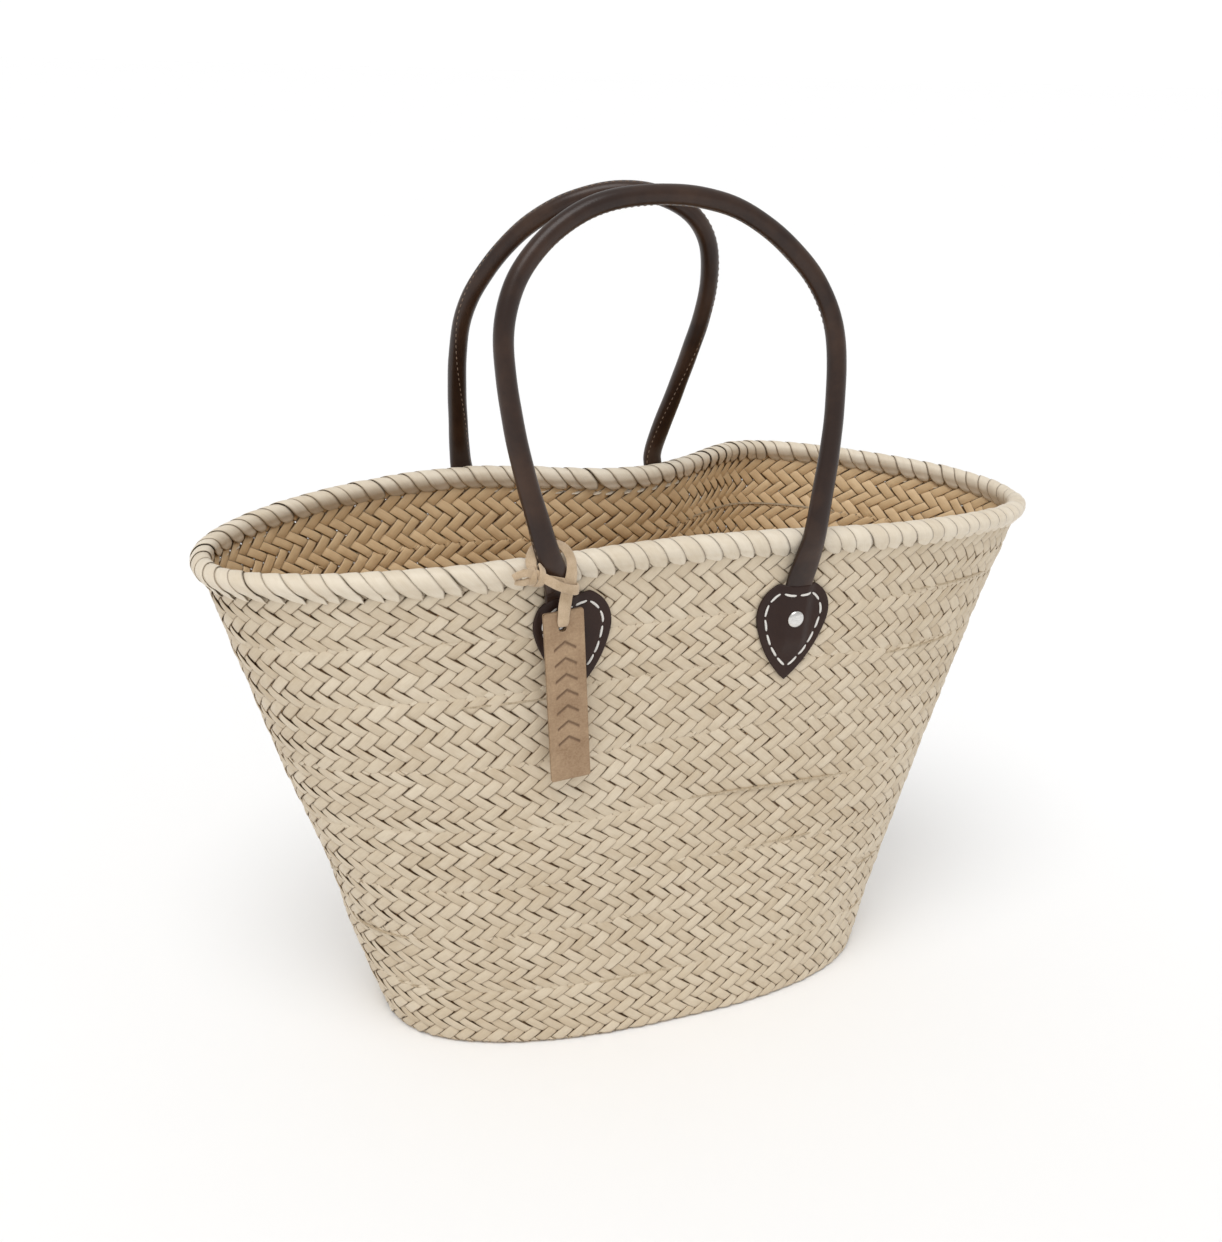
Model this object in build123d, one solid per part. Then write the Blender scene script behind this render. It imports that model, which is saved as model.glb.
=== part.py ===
from build123d import *
import math
import os

# Woven market basket, millimetres. +X runs along the long axis, the front wall faces -Y, +Z is up,
# and the origin is the middle of the base, on the surface that the basket stands on.

# Rim and base outlines: superellipses, with the gentle dents of a soft, hand-shaped wall
rim_half_length = 260.0
rim_half_depth = 101.5
rim_power = 2.18
base_half_length = 164.0
base_half_depth = 79.5
base_power = 2.44
slant_height = 321.0            # along the wall, from the floor to the middle of the rim roll
wall_hollow = 4.0               # how far the +X end of the wall bows inwards at half height
front_dent = (15.5, 0.0, 95.0)      # depth, X centre and width of the front wall's dent
rear_dent = (44.0, 12.0, 80.0)      # the same for the rear wall's deep dent
rear_bulge = (36.7, 142.0, 55.0)    # and for the rear wall's bulge
dent_fade = 40.0                # the dents fade out within this distance of the long axis

# Plaited strip
wall_thickness = 4.0
wall_turns = 8
base_thickness = 4.0
base_gap = 0.2                  # slack between the base and the first wall turn
base_core_scale = (0.74, 0.46)  # outline of the base's middle, against the whole base
cord_size = 1.2                 # square stand-in for the lacing cord in each seam

# Rim roll
rim_radius = 6.5
rim_core_radius = 4.8
rim_corners = 12                # of the many-sided stand-in for the round roll
rim_mouth = 37.0                # half angle of the opening under the roll, where the wall goes in

# Leather
handle_radius = 4.9
handle_core_radius = 3.5
patch_thickness = 1.8
root_thickness = 2.6            # flattened handle end, under its patch
skin_clearance = 0.05           # leather lies this far off the wall's nominal face
root_clearance = 0.3            # and the flat handle ends this far, for the wall's curve
patch_drop = 38.0               # how far the handle end runs down under its patch
ridge_width = 17.0              # the patch's raised middle, over the handle end
fold_height = 334.0             # the handles fold over the rim at this height
fold_out = 9.0                  # distance of the fold from the wall's outer face
fold_gap = 6.0                  # free length each side of the fold
front_lean = 12.0               # degrees inwards at rest
rear_lean = 20.0

# Handle arches: points of each route in its own leaning plane, (along the feet line, up), from one foot
front_route = [(0, 0), (-14, 60), (-17, 126), (26, 169), (82, 176), (130, 164), (175, 118), (174, 58), (161, 0)]
rear_route = [(0, 0), (-3, 69), (4, 111), (40, 160), (93, 179), (139, 160), (150, 115), (137, 48), (128, 0)]

# Corners: name, side (-1 front, +1 rear), patch X, slant of the patch top, X of the root at the
# patch top, X of the fold
corners = [
    ("front_left", -1, -78.0, 303.5, -85.0, -97.0),
    ("front_right", -1, 59.0, 294.0, 59.5, 64.0),
    ("rear_left", 1, -80.0, 300.0, -83.0, -88.0),
    ("rear_right", 1, 46.0, 297.0, 44.0, 38.0),
]

# Patch outline, from its tip at the bottom: heights are measured down from the top
patch_height = 60.0
patch_half_width = 22.5
patch_widest = 24.0             # height of the widest place below the top
stitch_inset = 5.5
stitch_count = 14
stitch_length = 7.2
stitch_radius = 0.45
stitch_sink = 0.3               # thread pulled this far into the leather
rivet_drop = 21.0               # rivet below the patch top
rivet_head_radius = 5.0
rivet_head_height = 1.8
rivet_shank_radius = 1.5
rivet_back_radius = 3.2
rivet_back_thickness = 0.8

# Seam stitches along the underside of each handle
seam_pitch = 7.0
seam_stitch = 4.6
seam_radius = 0.35
seam_sink = 0.2

# Hang tag and its lace
tag_width = 23.0
tag_length = 99.0
tag_thickness = 2.0
tag_tilt = 4.1                  # degrees from plumb, lower end towards +X
tag_top = (-85.2, -98.0, 293.9)     # middle of the tag's top edge
tag_hole = (-86.0, 287.0)       # X and Z of the hole
tag_hole_radius = 2.0
lace_thickness = 1.5
lace_width = 6.4
lace_top = 303.2                   # height at which the drop ends, beside the loop
loop_radius = 1.3
loop_low = (-86.0, 304.0, 8.4)      # X, slant and distance from the wall of the loop's lowest place
loop_high = (-98.0, 333.0, 4.8)
loop_half_width = 10.6
knot_radius = 4.6

samples = 16                    # spline points in each quarter of a ring


def superellipse(angle, half_x, half_y, power):
    c, s = math.cos(angle), math.sin(angle)
    return (math.copysign(half_x * abs(c) ** (2 / power), c),
            math.copysign(half_y * abs(s) ** (2 / power), s))


def bump(x, shape):
    depth, centre, width = shape
    return depth * math.exp(-((x - centre) / width) ** 2)


def wall_point(angle, s):
    """Outer face of the wall: s is 0 at the floor and 1 at the middle of the rim roll."""
    bx, by = superellipse(angle, base_half_length, base_half_depth, base_power)
    rx, ry = superellipse(angle, rim_half_length, rim_half_depth, rim_power)
    blend = min(1.0, abs(ry) / dent_fade)
    if ry < 0:
        ry += blend * bump(rx, front_dent)
    else:
        ry += blend * (bump(rx, rear_bulge) - bump(rx, rear_dent))
    rise = math.sqrt(slant_height ** 2 - (rx - bx) ** 2 - (ry - by) ** 2)
    hollow = wall_hollow * math.sin(math.pi * s) * max(bx, 0.0) / base_half_length
    return Vector(bx + (rx - bx) * s - hollow, by + (ry - by) * s, rise * s)


def wall_axes(angle, s):
    """Unit vectors of the wall: along the ring, up the wall, and out of it."""
    step = 1e-4
    along = (wall_point(angle + step, s) - wall_point(angle - step, s)).normalized()
    up = (wall_point(angle, s + step) - wall_point(angle, s - step)).normalized()
    out = along.cross(up).normalized()
    return along, up, out


def skin(slant, depth, rise=0.0):
    """A line round the wall at a slant height, a depth under its outer face and a rise along it."""
    def at(angle):
        s = slant / slant_height
        _, up, out = wall_axes(angle, s)
        return wall_point(angle, s) - out * depth + up * rise
    return at


def foot(inset, z=0.0):
    """A level line at height z, inset from the wall's foot."""
    def at(angle):
        _, _, out = wall_axes(angle, 0.0)
        level = Vector(out.X, out.Y, 0).normalized()
        return wall_point(angle, 0.0) - level * inset + Vector(0, 0, z)
    return at


def mixed(low, high, height):
    """The line at a height on the straight face between two lines."""
    def at(angle):
        a, b = low(angle), high(angle)
        return a + (b - a) * ((height - a.Z) / (b.Z - a.Z))
    return at


def core_line(z):
    """Outline of the base's middle at height z."""
    def at(angle):
        p = wall_point(angle, 0.0)
        return Vector(p.X * base_core_scale[0], p.Y * base_core_scale[1], z)
    return at


def quarter_edges(line):
    """A closed line round the basket as four splines."""
    edges = []
    for quarter in range(4):
        angles = [math.pi / 2 * (quarter + i / samples) for i in range(samples + 1)]
        edges.append(Edge.make_spline([line(angle) for angle in angles]))
    return edges


def ring_solid(profile):
    """Solid ring whose section has one corner for each line of the profile."""
    loops = [quarter_edges(line) for line in profile]
    faces = []
    for first, second in zip(loops, loops[1:] + loops[:1]):
        faces += [Face.make_surface_from_curves(a, b) for a, b in zip(first, second)]
    return Solid(Shell(faces))


def write(name, shape):
    export_step(shape, f"parts/{name}.step")


def group(solids):
    return Compound(children=list(solids))


def first_solid(shape):
    """The largest solid of a boolean's result."""
    return max(shape.solids(), key=lambda solid: solid.volume)


# ---- plaited body ----

def seam_corners(slant, side):
    """Section of one edge of a turn, with half of the lacing cord's groove; side is +1 on a top edge."""
    mid, half = wall_thickness / 2, cord_size / 2
    line = [skin(slant, 0), skin(slant, mid - half), skin(slant, mid - half, -side * half),
            skin(slant, mid + half, -side * half), skin(slant, mid + half), skin(slant, wall_thickness)]
    return line if side > 0 else line[::-1]


def make_wall_turns():
    """The coiled strip's turns, face to face; the spiral is stood in for by closed rings."""
    below_core = -rim_core_radius * math.cos(math.radians(rim_mouth))
    top = [skin(slant_height, 0, below_core), skin(slant_height, wall_thickness, below_core)]
    step = slant_height / wall_turns
    turns = []
    for i in range(wall_turns):
        low = [foot(wall_thickness), foot(0)] if i == 0 else seam_corners(i * step, -1)
        high = top if i == wall_turns - 1 else seam_corners((i + 1) * step, 1)
        turns.append(ring_solid(high + low))
    return turns


def make_lacing():
    mid, half = wall_thickness / 2, cord_size / 2
    step = slant_height / wall_turns
    rings = []
    for i in range(1, wall_turns):
        rings.append(ring_solid([skin(i * step, mid - half, half), skin(i * step, mid + half, half),
                                 skin(i * step, mid + half, -half), skin(i * step, mid - half, -half)]))
    return group(rings)


def make_base():
    """Middle of the base, and the strip's first turn round it."""
    low = foot(wall_thickness + base_gap)
    high = skin(slant_height / wall_turns, wall_thickness + base_gap)
    turn = ring_solid([low, mixed(low, high, base_thickness), core_line(base_thickness), core_line(0)])
    outline = Wire(quarter_edges(core_line(0)))
    middle = Solid.extrude(Face(outline), Vector(0, 0, base_thickness))
    return middle, turn


def rim_section(radius):
    """Corners of a roll round the wall's top edge, from one lip of its mouth to the other."""
    lines = []
    for i in range(rim_corners):
        turn = math.radians(rim_mouth + (360 - 2 * rim_mouth) * i / (rim_corners - 1))
        lines.append(skin(slant_height, wall_thickness / 2 + radius * math.sin(turn),
                          -radius * math.cos(turn)))
    return lines


def make_rim():
    """Core bundle on the wall's top edge, and the binding that wraps them both."""
    inner = rim_section(rim_core_radius)
    return ring_solid(inner), ring_solid(rim_section(rim_radius) + inner[::-1])


# ---- handle ends, patches, stitching and rivets ----

def angle_at(side, x, slant):
    """The ring angle at which the wall's outer face has this X."""
    low, high = (0.0, math.pi) if side > 0 else (2 * math.pi, math.pi)
    for _ in range(50):
        middle = (low + high) / 2
        if wall_point(middle, slant / slant_height).X > x:
            low = middle
        else:
            high = middle
    return (low + high) / 2


def wall_plane(side, x, slant):
    """Plane on the wall: its X along the wall, its Y up the wall, its Z out of it."""
    angle = angle_at(side, x, slant)
    _, up, out = wall_axes(angle, slant / slant_height)
    return Plane(wall_point(angle, slant / slant_height), x_dir=up.cross(out), z_dir=out)


def make_blank(side, patch_x, patch_top, thickness):
    """A piece of layer on the outside of the wall, larger than the patch that is cut from it."""
    spare = 4.0
    reach = patch_half_width + spare
    low, high = patch_top - patch_height - spare, patch_top + spare
    first, last = (angle_at(side, patch_x + shift, patch_top) for shift in (-reach, reach))
    angles = [first + (last - first) * i / samples for i in range(samples + 1)]
    profile = [skin(low, -thickness), skin(high, -thickness),
               skin(high, -skin_clearance), skin(low, -skin_clearance)]
    edges = [Edge.make_spline([line(angle) for angle in angles]) for line in profile]
    faces = [Face.make_surface_from_curves(a, b) for a, b in zip(edges, edges[1:] + edges[:1])]
    for end in (0, 1):
        corner = [edge @ end for edge in edges]
        faces.append(Face.make_surface_from_curves(Edge.make_line(corner[0], corner[1]),
                                                   Edge.make_line(corner[3], corner[2])))
    return Solid(Shell(faces))


def patch_outline():
    """Half of the patch's edge is tip, side, shoulder and the shallow dip in the top."""
    tip = (0, -patch_height)
    waist = (patch_half_width * 0.72, -patch_height * 0.64)
    wide = (patch_half_width, -patch_widest)
    shoulder = (patch_half_width * 0.86, -patch_widest * 0.3)
    corner = (patch_half_width * 0.46, 0.0)
    dip = (0, -1.6)
    side = ThreePointArc(tip, waist, wide)
    round_top = ThreePointArc(wide, shoulder, corner)
    top = ThreePointArc(corner, dip, (-corner[0], 0.0))
    return Wire([side, round_top, top, round_top.mirror(Plane.YZ), side.mirror(Plane.YZ)])


def make_root(side, patch_top, root_x, fold_x):
    """Flattened handle end: flat under the patch, then out round the rim roll and up to the fold."""
    plane = wall_plane(side, root_x, patch_top)
    fold_u = plane.to_local_coords(Vector(fold_x, plane.origin.Y, plane.origin.Z)).X
    fold_v = slant_height + fold_height - 320.0 - patch_top
    # height over the patch top, distance of the middle from the wall, width, thickness
    flat = root_clearance + root_thickness / 2
    stations = [(-patch_drop, flat, 12.5, root_thickness), (-6, flat, 13.5, root_thickness),
                (3, 2.9, 13.0, 4.0), (fold_v - 23, 6.8, 12.4, 5.2), (fold_v - 16, 8.6, 11.8, 6.2),
                (fold_v - fold_gap, fold_out, 11.0, 6.5)]
    points = [Vector(fold_u * max(v, 0) / fold_v, v, n) for v, n, _, _ in stations]
    sections = []
    for i, (_, _, width, thickness) in enumerate(stations):
        ahead = points[min(i + 1, len(points) - 1)] - points[max(i - 1, 0)]
        spot = Plane(points[i], x_dir=Vector(1, 0, 0), z_dir=ahead)
        sections.append(plane * spot * SlotOverall(width, thickness))
    return loft(sections, ruled=True), plane


def surface_spot(side, plane, u, v):
    """Wall surface point under (u, v) of a wall plane, and the outward direction there."""
    x = (plane * Location((u, v, 0))).position.X
    slant = plane.origin.Z / wall_point(angle_at(side, x, 1.0), 1.0).Z * slant_height + v
    angle = angle_at(side, x, slant)
    _, _, out = wall_axes(angle, slant / slant_height)
    return wall_point(angle, slant / slant_height), out


def rod(start, end, radius):
    return Solid.make_cylinder(radius, (end - start).length, Plane(start, z_dir=end - start))


def make_corner(side, patch_x, patch_top, root_x, fold_x):
    """One corner's handle end, patch, stitches, rivet and rivet back."""
    root, root_plane = make_root(side, patch_top, root_x, fold_x)
    plane = wall_plane(side, patch_x, patch_top)
    prism = extrude(plane.offset(-8) * Face(patch_outline()), 20, dir=plane.z_dir)
    ridge_x = plane.to_local_coords(root_plane.origin).X
    ridge = plane.offset(-8) * Pos(ridge_x, -patch_drop / 2, 0) * Rectangle(ridge_width, patch_drop + 4)
    ridge = extrude(ridge, 20, dir=plane.z_dir)
    head_plane = root_plane.offset(root_clearance + root_thickness + patch_thickness + 0.1)
    head_plane = head_plane * Pos(0, -rivet_drop, 0)
    head_plane = Plane(head_plane)
    shank = Solid.make_cylinder(rivet_shank_radius, 3.6, Plane(head_plane * Pos(0, 0, -3.6)))
    back = Solid.make_cylinder(rivet_back_radius, rivet_back_thickness,
                               Plane(head_plane * Pos(0, 0, -3.6 - rivet_back_thickness)))
    dome_radius = (rivet_head_radius ** 2 + rivet_head_height ** 2) / (2 * rivet_head_height)
    ball = head_plane * Pos(0, 0, rivet_head_height - dome_radius) * Sphere(dome_radius)
    head = ball & Solid.make_cylinder(rivet_head_radius + 1, 4, head_plane)
    root = root - shank - back
    thin = make_blank(side, patch_x, patch_top, patch_thickness)
    thick = make_blank(side, patch_x, patch_top, root_clearance + root_thickness + patch_thickness)
    patch = (prism & thin) + (prism & ridge & thick)
    patch = patch - root - shank - rod(head_plane.origin, head_plane.origin
                                                    + head_plane.z_dir * 6, rivet_head_radius)
    stitches = []
    seam = Wire(offset(Face(patch_outline()), -stitch_inset, kind=Kind.INTERSECTION).edges())
    pitch = seam.length / stitch_count
    for i in range(stitch_count):
        ends = []
        for shift in (-stitch_length / 2, stitch_length / 2):
            spot = seam.position_at((((i + 0.5) * pitch + shift) / seam.length) % 1.0)
            base, out = surface_spot(side, plane, spot.X, spot.Y)
            raised = abs(spot.X - ridge_x) < ridge_width / 2 and spot.Y > -patch_drop
            level = (root_clearance + root_thickness if raised else 0) + patch_thickness
            ends.append(base + out * (level + stitch_radius - stitch_sink))
        stitches.append(rod(ends[0], ends[1], stitch_radius))
    rivet = head + shank
    return first_solid(root), first_solid(patch), group(stitches), first_solid(rivet), back


# ---- handles ----

def fillet_radii(points):
    """Largest comfortable arc at each inner point of a route."""
    radii = []
    for a, b, c in zip(points, points[1:], points[2:]):
        turn = math.radians((b - a).get_angle(c - b))
        radii.append(0.45 * min((b - a).length, (c - b).length) / math.tan(turn / 2))
    return radii


def fold_point(side, fold_x):
    """Point of the fold line over the rim, at one foot."""
    angle = angle_at(side, fold_x, slant_height)
    _, _, out = wall_axes(angle, 1.0)
    level = Vector(out.X, out.Y, 0).normalized()
    spot = wall_point(angle, 1.0) + level * fold_out
    return Vector(spot.X, spot.Y, fold_height)


def handle_plane(left, right, lean, inward):
    """The leaning plane of an arch: X from its left foot to its right one, Y up the arch."""
    along = (right - left).normalized()
    tilt = math.radians(lean)
    up = Vector(0, 0, 1) * math.cos(tilt) + Vector(0, inward, 0) * math.sin(tilt)
    up = (up - along * up.dot(along)).normalized()
    return Plane(left, x_dir=along, z_dir=along.cross(up))


def make_handle(route, plane):
    """Leather tube, rope core and seam stitches along one arch."""
    points = [Vector(*p) for p in route]
    points[0] = points[0] + (points[1] - points[0]).normalized() * fold_gap
    points[-1] = points[-1] + (points[-2] - points[-1]).normalized() * fold_gap
    world = [(plane * Location((p.X, p.Y, 0))).position for p in points]
    path = FilletPolyline(*world, radius=fillet_radii(world))
    start = Plane(path @ 0, z_dir=path % 0)
    core = sweep(start * Circle(handle_core_radius), path=path)
    cover = sweep(start * (Circle(handle_radius) - Circle(handle_core_radius)), path=path)
    stitches = []
    reach = handle_radius + seam_radius - seam_sink
    count = int(path.length / seam_pitch)
    for i in range(1, count):
        here = i / count
        inner = (path % here).cross(plane.z_dir).normalized()
        middle = path @ here + inner * reach
        half = (path % here) * (seam_stitch / 2)
        stitches.append(rod(middle - half, middle + half, seam_radius))
    print("handle length", round(path.length, 1), "volume", round(core.volume),
          "expected", round(math.pi * handle_core_radius ** 2 * path.length))
    return first_solid(cover), first_solid(core), group(stitches)


# ---- tag and lace ----

def place_on_wall(x, slant, out_by):
    angle = angle_at(-1, x, slant)
    _, _, out = wall_axes(angle, slant / slant_height)
    return wall_point(angle, slant / slant_height) + out * out_by


def make_tag():
    hang = Plane(Vector(*tag_top), x_dir=Vector(1, 0, 0), z_dir=Vector(0, -1, 0))
    hang = Plane(hang * Rot(0, 0, tag_tilt))
    slab = hang.offset(-tag_thickness / 2) * Pos(0, -tag_length / 2, 0) * Rectangle(tag_width, tag_length)
    slab = extrude(slab, tag_thickness, dir=hang.z_dir)
    slab = fillet(slab.edges().filter_by(Axis.Y), 1.5)
    hole = Solid.make_cylinder(tag_hole_radius, 4 * tag_thickness,
                               Plane((tag_hole[0], tag_top[1] + 2 * tag_thickness, tag_hole[1]), z_dir=(0, -1, 0)))
    tag = slab - hole
    face = tag_top[1] - tag_thickness / 2
    # side view of the lace's drop, (Y, Z): flat on the tag, clear of the loop that it hangs from
    side_view = [(face, tag_hole[1] - 3.5), (face, 294), (face - 0.8, 299), (face - 0.8, lace_top),
                 (face - 0.8 - lace_thickness, lace_top), (face - 0.8 - lace_thickness, 298),
                 (face - lace_thickness, 293), (face - lace_thickness, tag_hole[1] - 3.5)]
    drop = Face(Wire.make_polygon([Vector(tag_hole[0] - lace_width / 2, y, z) for y, z in side_view]))
    drop = Solid.extrude(drop, Vector(lace_width, 0, 0))
    return first_solid(tag), drop


def make_loop():
    """Closed lace loop round the front left handle end, and its knot."""
    low, high = place_on_wall(*loop_low), place_on_wall(*loop_high)
    middle = (low + high) / 2
    long_axis = (high - low).normalized()
    side_axis = Vector(1, 0, 0) - long_axis * long_axis.X
    normal = side_axis.cross(long_axis)
    ring_plane = Plane(middle, x_dir=long_axis, z_dir=normal)
    path = Edge.make_ellipse((high - low).length / 2, loop_half_width, ring_plane)
    loop = sweep(Plane(path @ 0, z_dir=path % 0) * Circle(loop_radius), path=path)
    knot_middle = middle - side_axis.normalized() * (loop_half_width + 3.4) + Vector(0, -3.0, 1.5)
    knot = Pos(knot_middle) * Sphere(knot_radius)
    tail = knot_middle + Vector(-10, -1, 1)
    knot = knot + rod(knot_middle, tail, 1.6)
    return first_solid(loop), first_solid(knot - loop)


def main():
    os.makedirs("parts", exist_ok=True)
    turns = make_wall_turns()
    middle, base_turn = make_base()
    rim_core, rim_binding = make_rim()
    write("base_centre", middle)
    write("base_outer_turn", base_turn)
    for i, turn in enumerate(turns):
        write(f"wall_turn_{i + 1}", turn)
    write("lacing_cord", make_lacing())
    write("rim_core", rim_core)
    write("rim_binding", rim_binding)

    folds = {}
    rivets, backs = [], []
    for name, side, patch_x, patch_top, root_x, fold_x in corners:
        pieces = make_corner(side, patch_x, patch_top, root_x, fold_x)
        root, patch, stitches, rivet, back = pieces
        write(f"{name}_handle_end", root)
        write(f"{name}_patch", patch)
        write(f"{name}_patch_stitches", stitches)
        rivets.append(rivet)
        backs.append(back)
        folds[name] = fold_point(side, fold_x)
        print("fold", name, [round(c, 2) for c in folds[name]])
    write("rivets", group(rivets))
    write("rivet_backs", group(backs))

    arches = [("front", front_route, front_lean, 1), ("rear", rear_route, rear_lean, -1)]
    for name, route, lean, inward in arches:
        plane = handle_plane(folds[f"{name}_left"], folds[f"{name}_right"], lean, inward)
        cover, core, stitches = make_handle(route, plane)
        write(f"{name}_handle_leather", cover)
        write(f"{name}_handle_core", core)
        write(f"{name}_handle_seam", stitches)

    tag, drop = make_tag()
    loop, knot = make_loop()
    write("hang_tag", tag)
    write("tag_lace_drop", drop)
    write("tag_lace_loop", loop)
    write("tag_lace_knot", knot)


main()
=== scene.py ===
import bpy
import numpy as np
from mathutils import Matrix, Vector


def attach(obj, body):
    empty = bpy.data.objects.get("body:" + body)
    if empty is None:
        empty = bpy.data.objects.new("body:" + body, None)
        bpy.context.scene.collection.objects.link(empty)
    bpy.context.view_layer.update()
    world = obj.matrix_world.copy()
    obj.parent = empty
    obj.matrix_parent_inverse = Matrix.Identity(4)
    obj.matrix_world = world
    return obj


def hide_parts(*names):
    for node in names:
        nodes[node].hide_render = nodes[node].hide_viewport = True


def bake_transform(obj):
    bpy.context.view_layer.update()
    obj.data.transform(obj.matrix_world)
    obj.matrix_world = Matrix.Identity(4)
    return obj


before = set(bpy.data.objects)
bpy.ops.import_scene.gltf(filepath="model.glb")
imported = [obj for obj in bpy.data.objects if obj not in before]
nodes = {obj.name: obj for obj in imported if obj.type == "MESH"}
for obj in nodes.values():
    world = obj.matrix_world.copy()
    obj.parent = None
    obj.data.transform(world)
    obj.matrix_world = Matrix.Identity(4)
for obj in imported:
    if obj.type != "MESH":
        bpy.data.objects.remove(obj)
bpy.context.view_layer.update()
rng = np.random.default_rng(7)

# degrees, metres and a lens in millimetres
view = dict(azimuth=-22.245, elevation=21.526, roll=1.944, distance=0.89972,
            target=(-0.017774, 0.0, 0.244884), lens=42.45)


def addCamera(v):
    # stands back from the target along a bearing and a height, then turns by the roll about its own axis
    az, el, roll = np.radians([v["azimuth"], v["elevation"], v["roll"]])
    back = Vector((np.sin(az) * np.cos(el), -np.cos(az) * np.cos(el), np.sin(el)))
    right = Vector((np.cos(az), np.sin(az), 0.0))
    up = back.cross(right)
    turnedRight = right * np.cos(roll) + up * np.sin(roll)
    turnedUp = up * np.cos(roll) - right * np.sin(roll)
    data = bpy.data.cameras.new("camera")
    data.lens = v["lens"]
    data.sensor_width = 36.0
    data.clip_end = 50.0
    camera = bpy.data.objects.new("camera", data)
    camera.matrix_world = Matrix((
        (turnedRight.x, turnedUp.x, back.x, v["target"][0] + back.x * v["distance"]),
        (turnedRight.y, turnedUp.y, back.y, v["target"][1] + back.y * v["distance"]),
        (turnedRight.z, turnedUp.z, back.z, v["target"][2] + back.z * v["distance"]),
        (0.0, 0.0, 0.0, 1.0)))
    bpy.context.collection.objects.link(camera)
    bpy.context.scene.camera = camera
    print("camera placed")


studio = dict(sky=0.66, horizon=1.05, band=(0.05, 0.16), key=1.42, keyAngle=38.0,
              keyFrom=(-0.45, -0.75, 1.8), floorSize=60.0, floorWhite=0.95, floorTint=0.01)


def addStudio(s):
    # an even white sky, brighter at the horizon, and one wide soft light from the upper left
    scene = bpy.context.scene
    world = bpy.data.worlds.new("studio")
    world.use_nodes = True
    nodesOf = world.node_tree.nodes
    sky = nodesOf["Background"]
    height = nodesOf.new("ShaderNodeSeparateXYZ")
    band = nodesOf.new("ShaderNodeMapRange")
    band.inputs["From Min"].default_value = s["band"][0]
    band.inputs["From Max"].default_value = s["band"][1]
    band.inputs["To Min"].default_value = s["horizon"]
    band.inputs["To Max"].default_value = s["sky"]
    place = nodesOf.new("ShaderNodeTexCoord")
    world.node_tree.links.new(place.outputs["Generated"], height.inputs[0])
    world.node_tree.links.new(height.outputs[2], band.inputs["Value"])
    world.node_tree.links.new(band.outputs["Result"], sky.inputs["Strength"])
    sky.inputs["Color"].default_value = (1.0, 1.0, 1.0, 1.0)
    scene.world = world
    scene.view_settings.view_transform = "Standard"
    data = bpy.data.lights.new("key", "SUN")
    data.energy = s["key"]
    data.angle = np.radians(s["keyAngle"])
    lamp = bpy.data.objects.new("key", data)
    lamp.rotation_euler = (-Vector(s["keyFrom"])).to_track_quat("-Z", "Y").to_euler()
    bpy.context.collection.objects.link(lamp)
    square = np.array([(-1, -1, 0), (1, -1, 0), (1, 1, 0), (-1, 1, 0)]) * s["floorSize"] / 2
    floor = meshPiece("floor", square, quads=np.array([(0, 1, 2, 3)]))
    m = newMaterial("paper")
    grain = m.noise(m.objectPoint(), scale=3.0, detail=4.0)
    white = s["floorWhite"]
    m.set("Base Color", m.ramp(grain, [(0.3, (white,) * 3), (0.7, (white + s["floorTint"],) * 3)]))
    m.set("Roughness", 0.9)
    floor.data.materials.append(m.material)
    print("studio lit")


def meshPiece(name, points, quads=None, tris=None, smooth=True):
    # a mesh object from point, quad and triangle arrays
    mesh = bpy.data.meshes.new(name)
    groups = [g for g in (quads, tris) if g is not None and len(g)]
    corners = np.concatenate([g.ravel() for g in groups]).astype(np.int32)
    sizes = np.concatenate([np.full(len(g), g.shape[1]) for g in groups]).astype(np.int32)
    starts = np.concatenate([[0], np.cumsum(sizes)[:-1]]).astype(np.int32)
    mesh.vertices.add(len(points))
    mesh.vertices.foreach_set("co", np.asarray(points, np.float32).ravel())
    mesh.loops.add(len(corners))
    mesh.loops.foreach_set("vertex_index", corners)
    mesh.polygons.add(len(sizes))
    mesh.polygons.foreach_set("loop_start", starts)
    mesh.polygons.foreach_set("loop_total", sizes)
    mesh.polygons.foreach_set("use_smooth", np.full(len(sizes), smooth))
    mesh.update(calc_edges=True)
    mesh.validate()
    piece = bpy.data.objects.new(name, mesh)
    bpy.context.collection.objects.link(piece)
    return piece


def addValues(piece, name, values):
    # one number or one vector for each point, read by a material
    values = np.asarray(values, np.float32)
    kind = "FLOAT" if values.ndim == 1 else "FLOAT_VECTOR"
    attribute = piece.data.attributes.new(name, kind, "POINT")
    attribute.data.foreach_set("value" if values.ndim == 1 else "vector", values.ravel())


def tubeFaces(rows, columns, first=0):
    # quads of a tube: each joins two neighbours on a ring to the same two on the next ring
    r, c = np.meshgrid(np.arange(rows - 1), np.arange(columns), indexing="ij")
    n = (c + 1) % columns
    quads = np.stack([r * columns + c, r * columns + n, (r + 1) * columns + n, (r + 1) * columns + c], -1)
    return quads.reshape(-1, 4) + first


def poleFans(rows, columns):
    # triangles from a tube's first and last rings to two poles, whose points follow the last ring's
    k = np.arange(columns)
    after = (k + 1) % columns
    last = (rows - 1) * columns
    low = np.stack([after, k, np.full(columns, rows * columns)], 1)
    high = np.stack([k + last, after + last, np.full(columns, rows * columns + 1)], 1)
    return np.concatenate([low, high])


def endFans(rows, columns):
    # triangles that close a tube's first and its last ring, each a fan from the ring's own first point
    k = np.arange(1, columns - 1)
    fan = np.stack([np.zeros_like(k), k, k + 1], 1)
    return fan[:, ::-1], fan + (rows - 1) * columns


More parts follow.
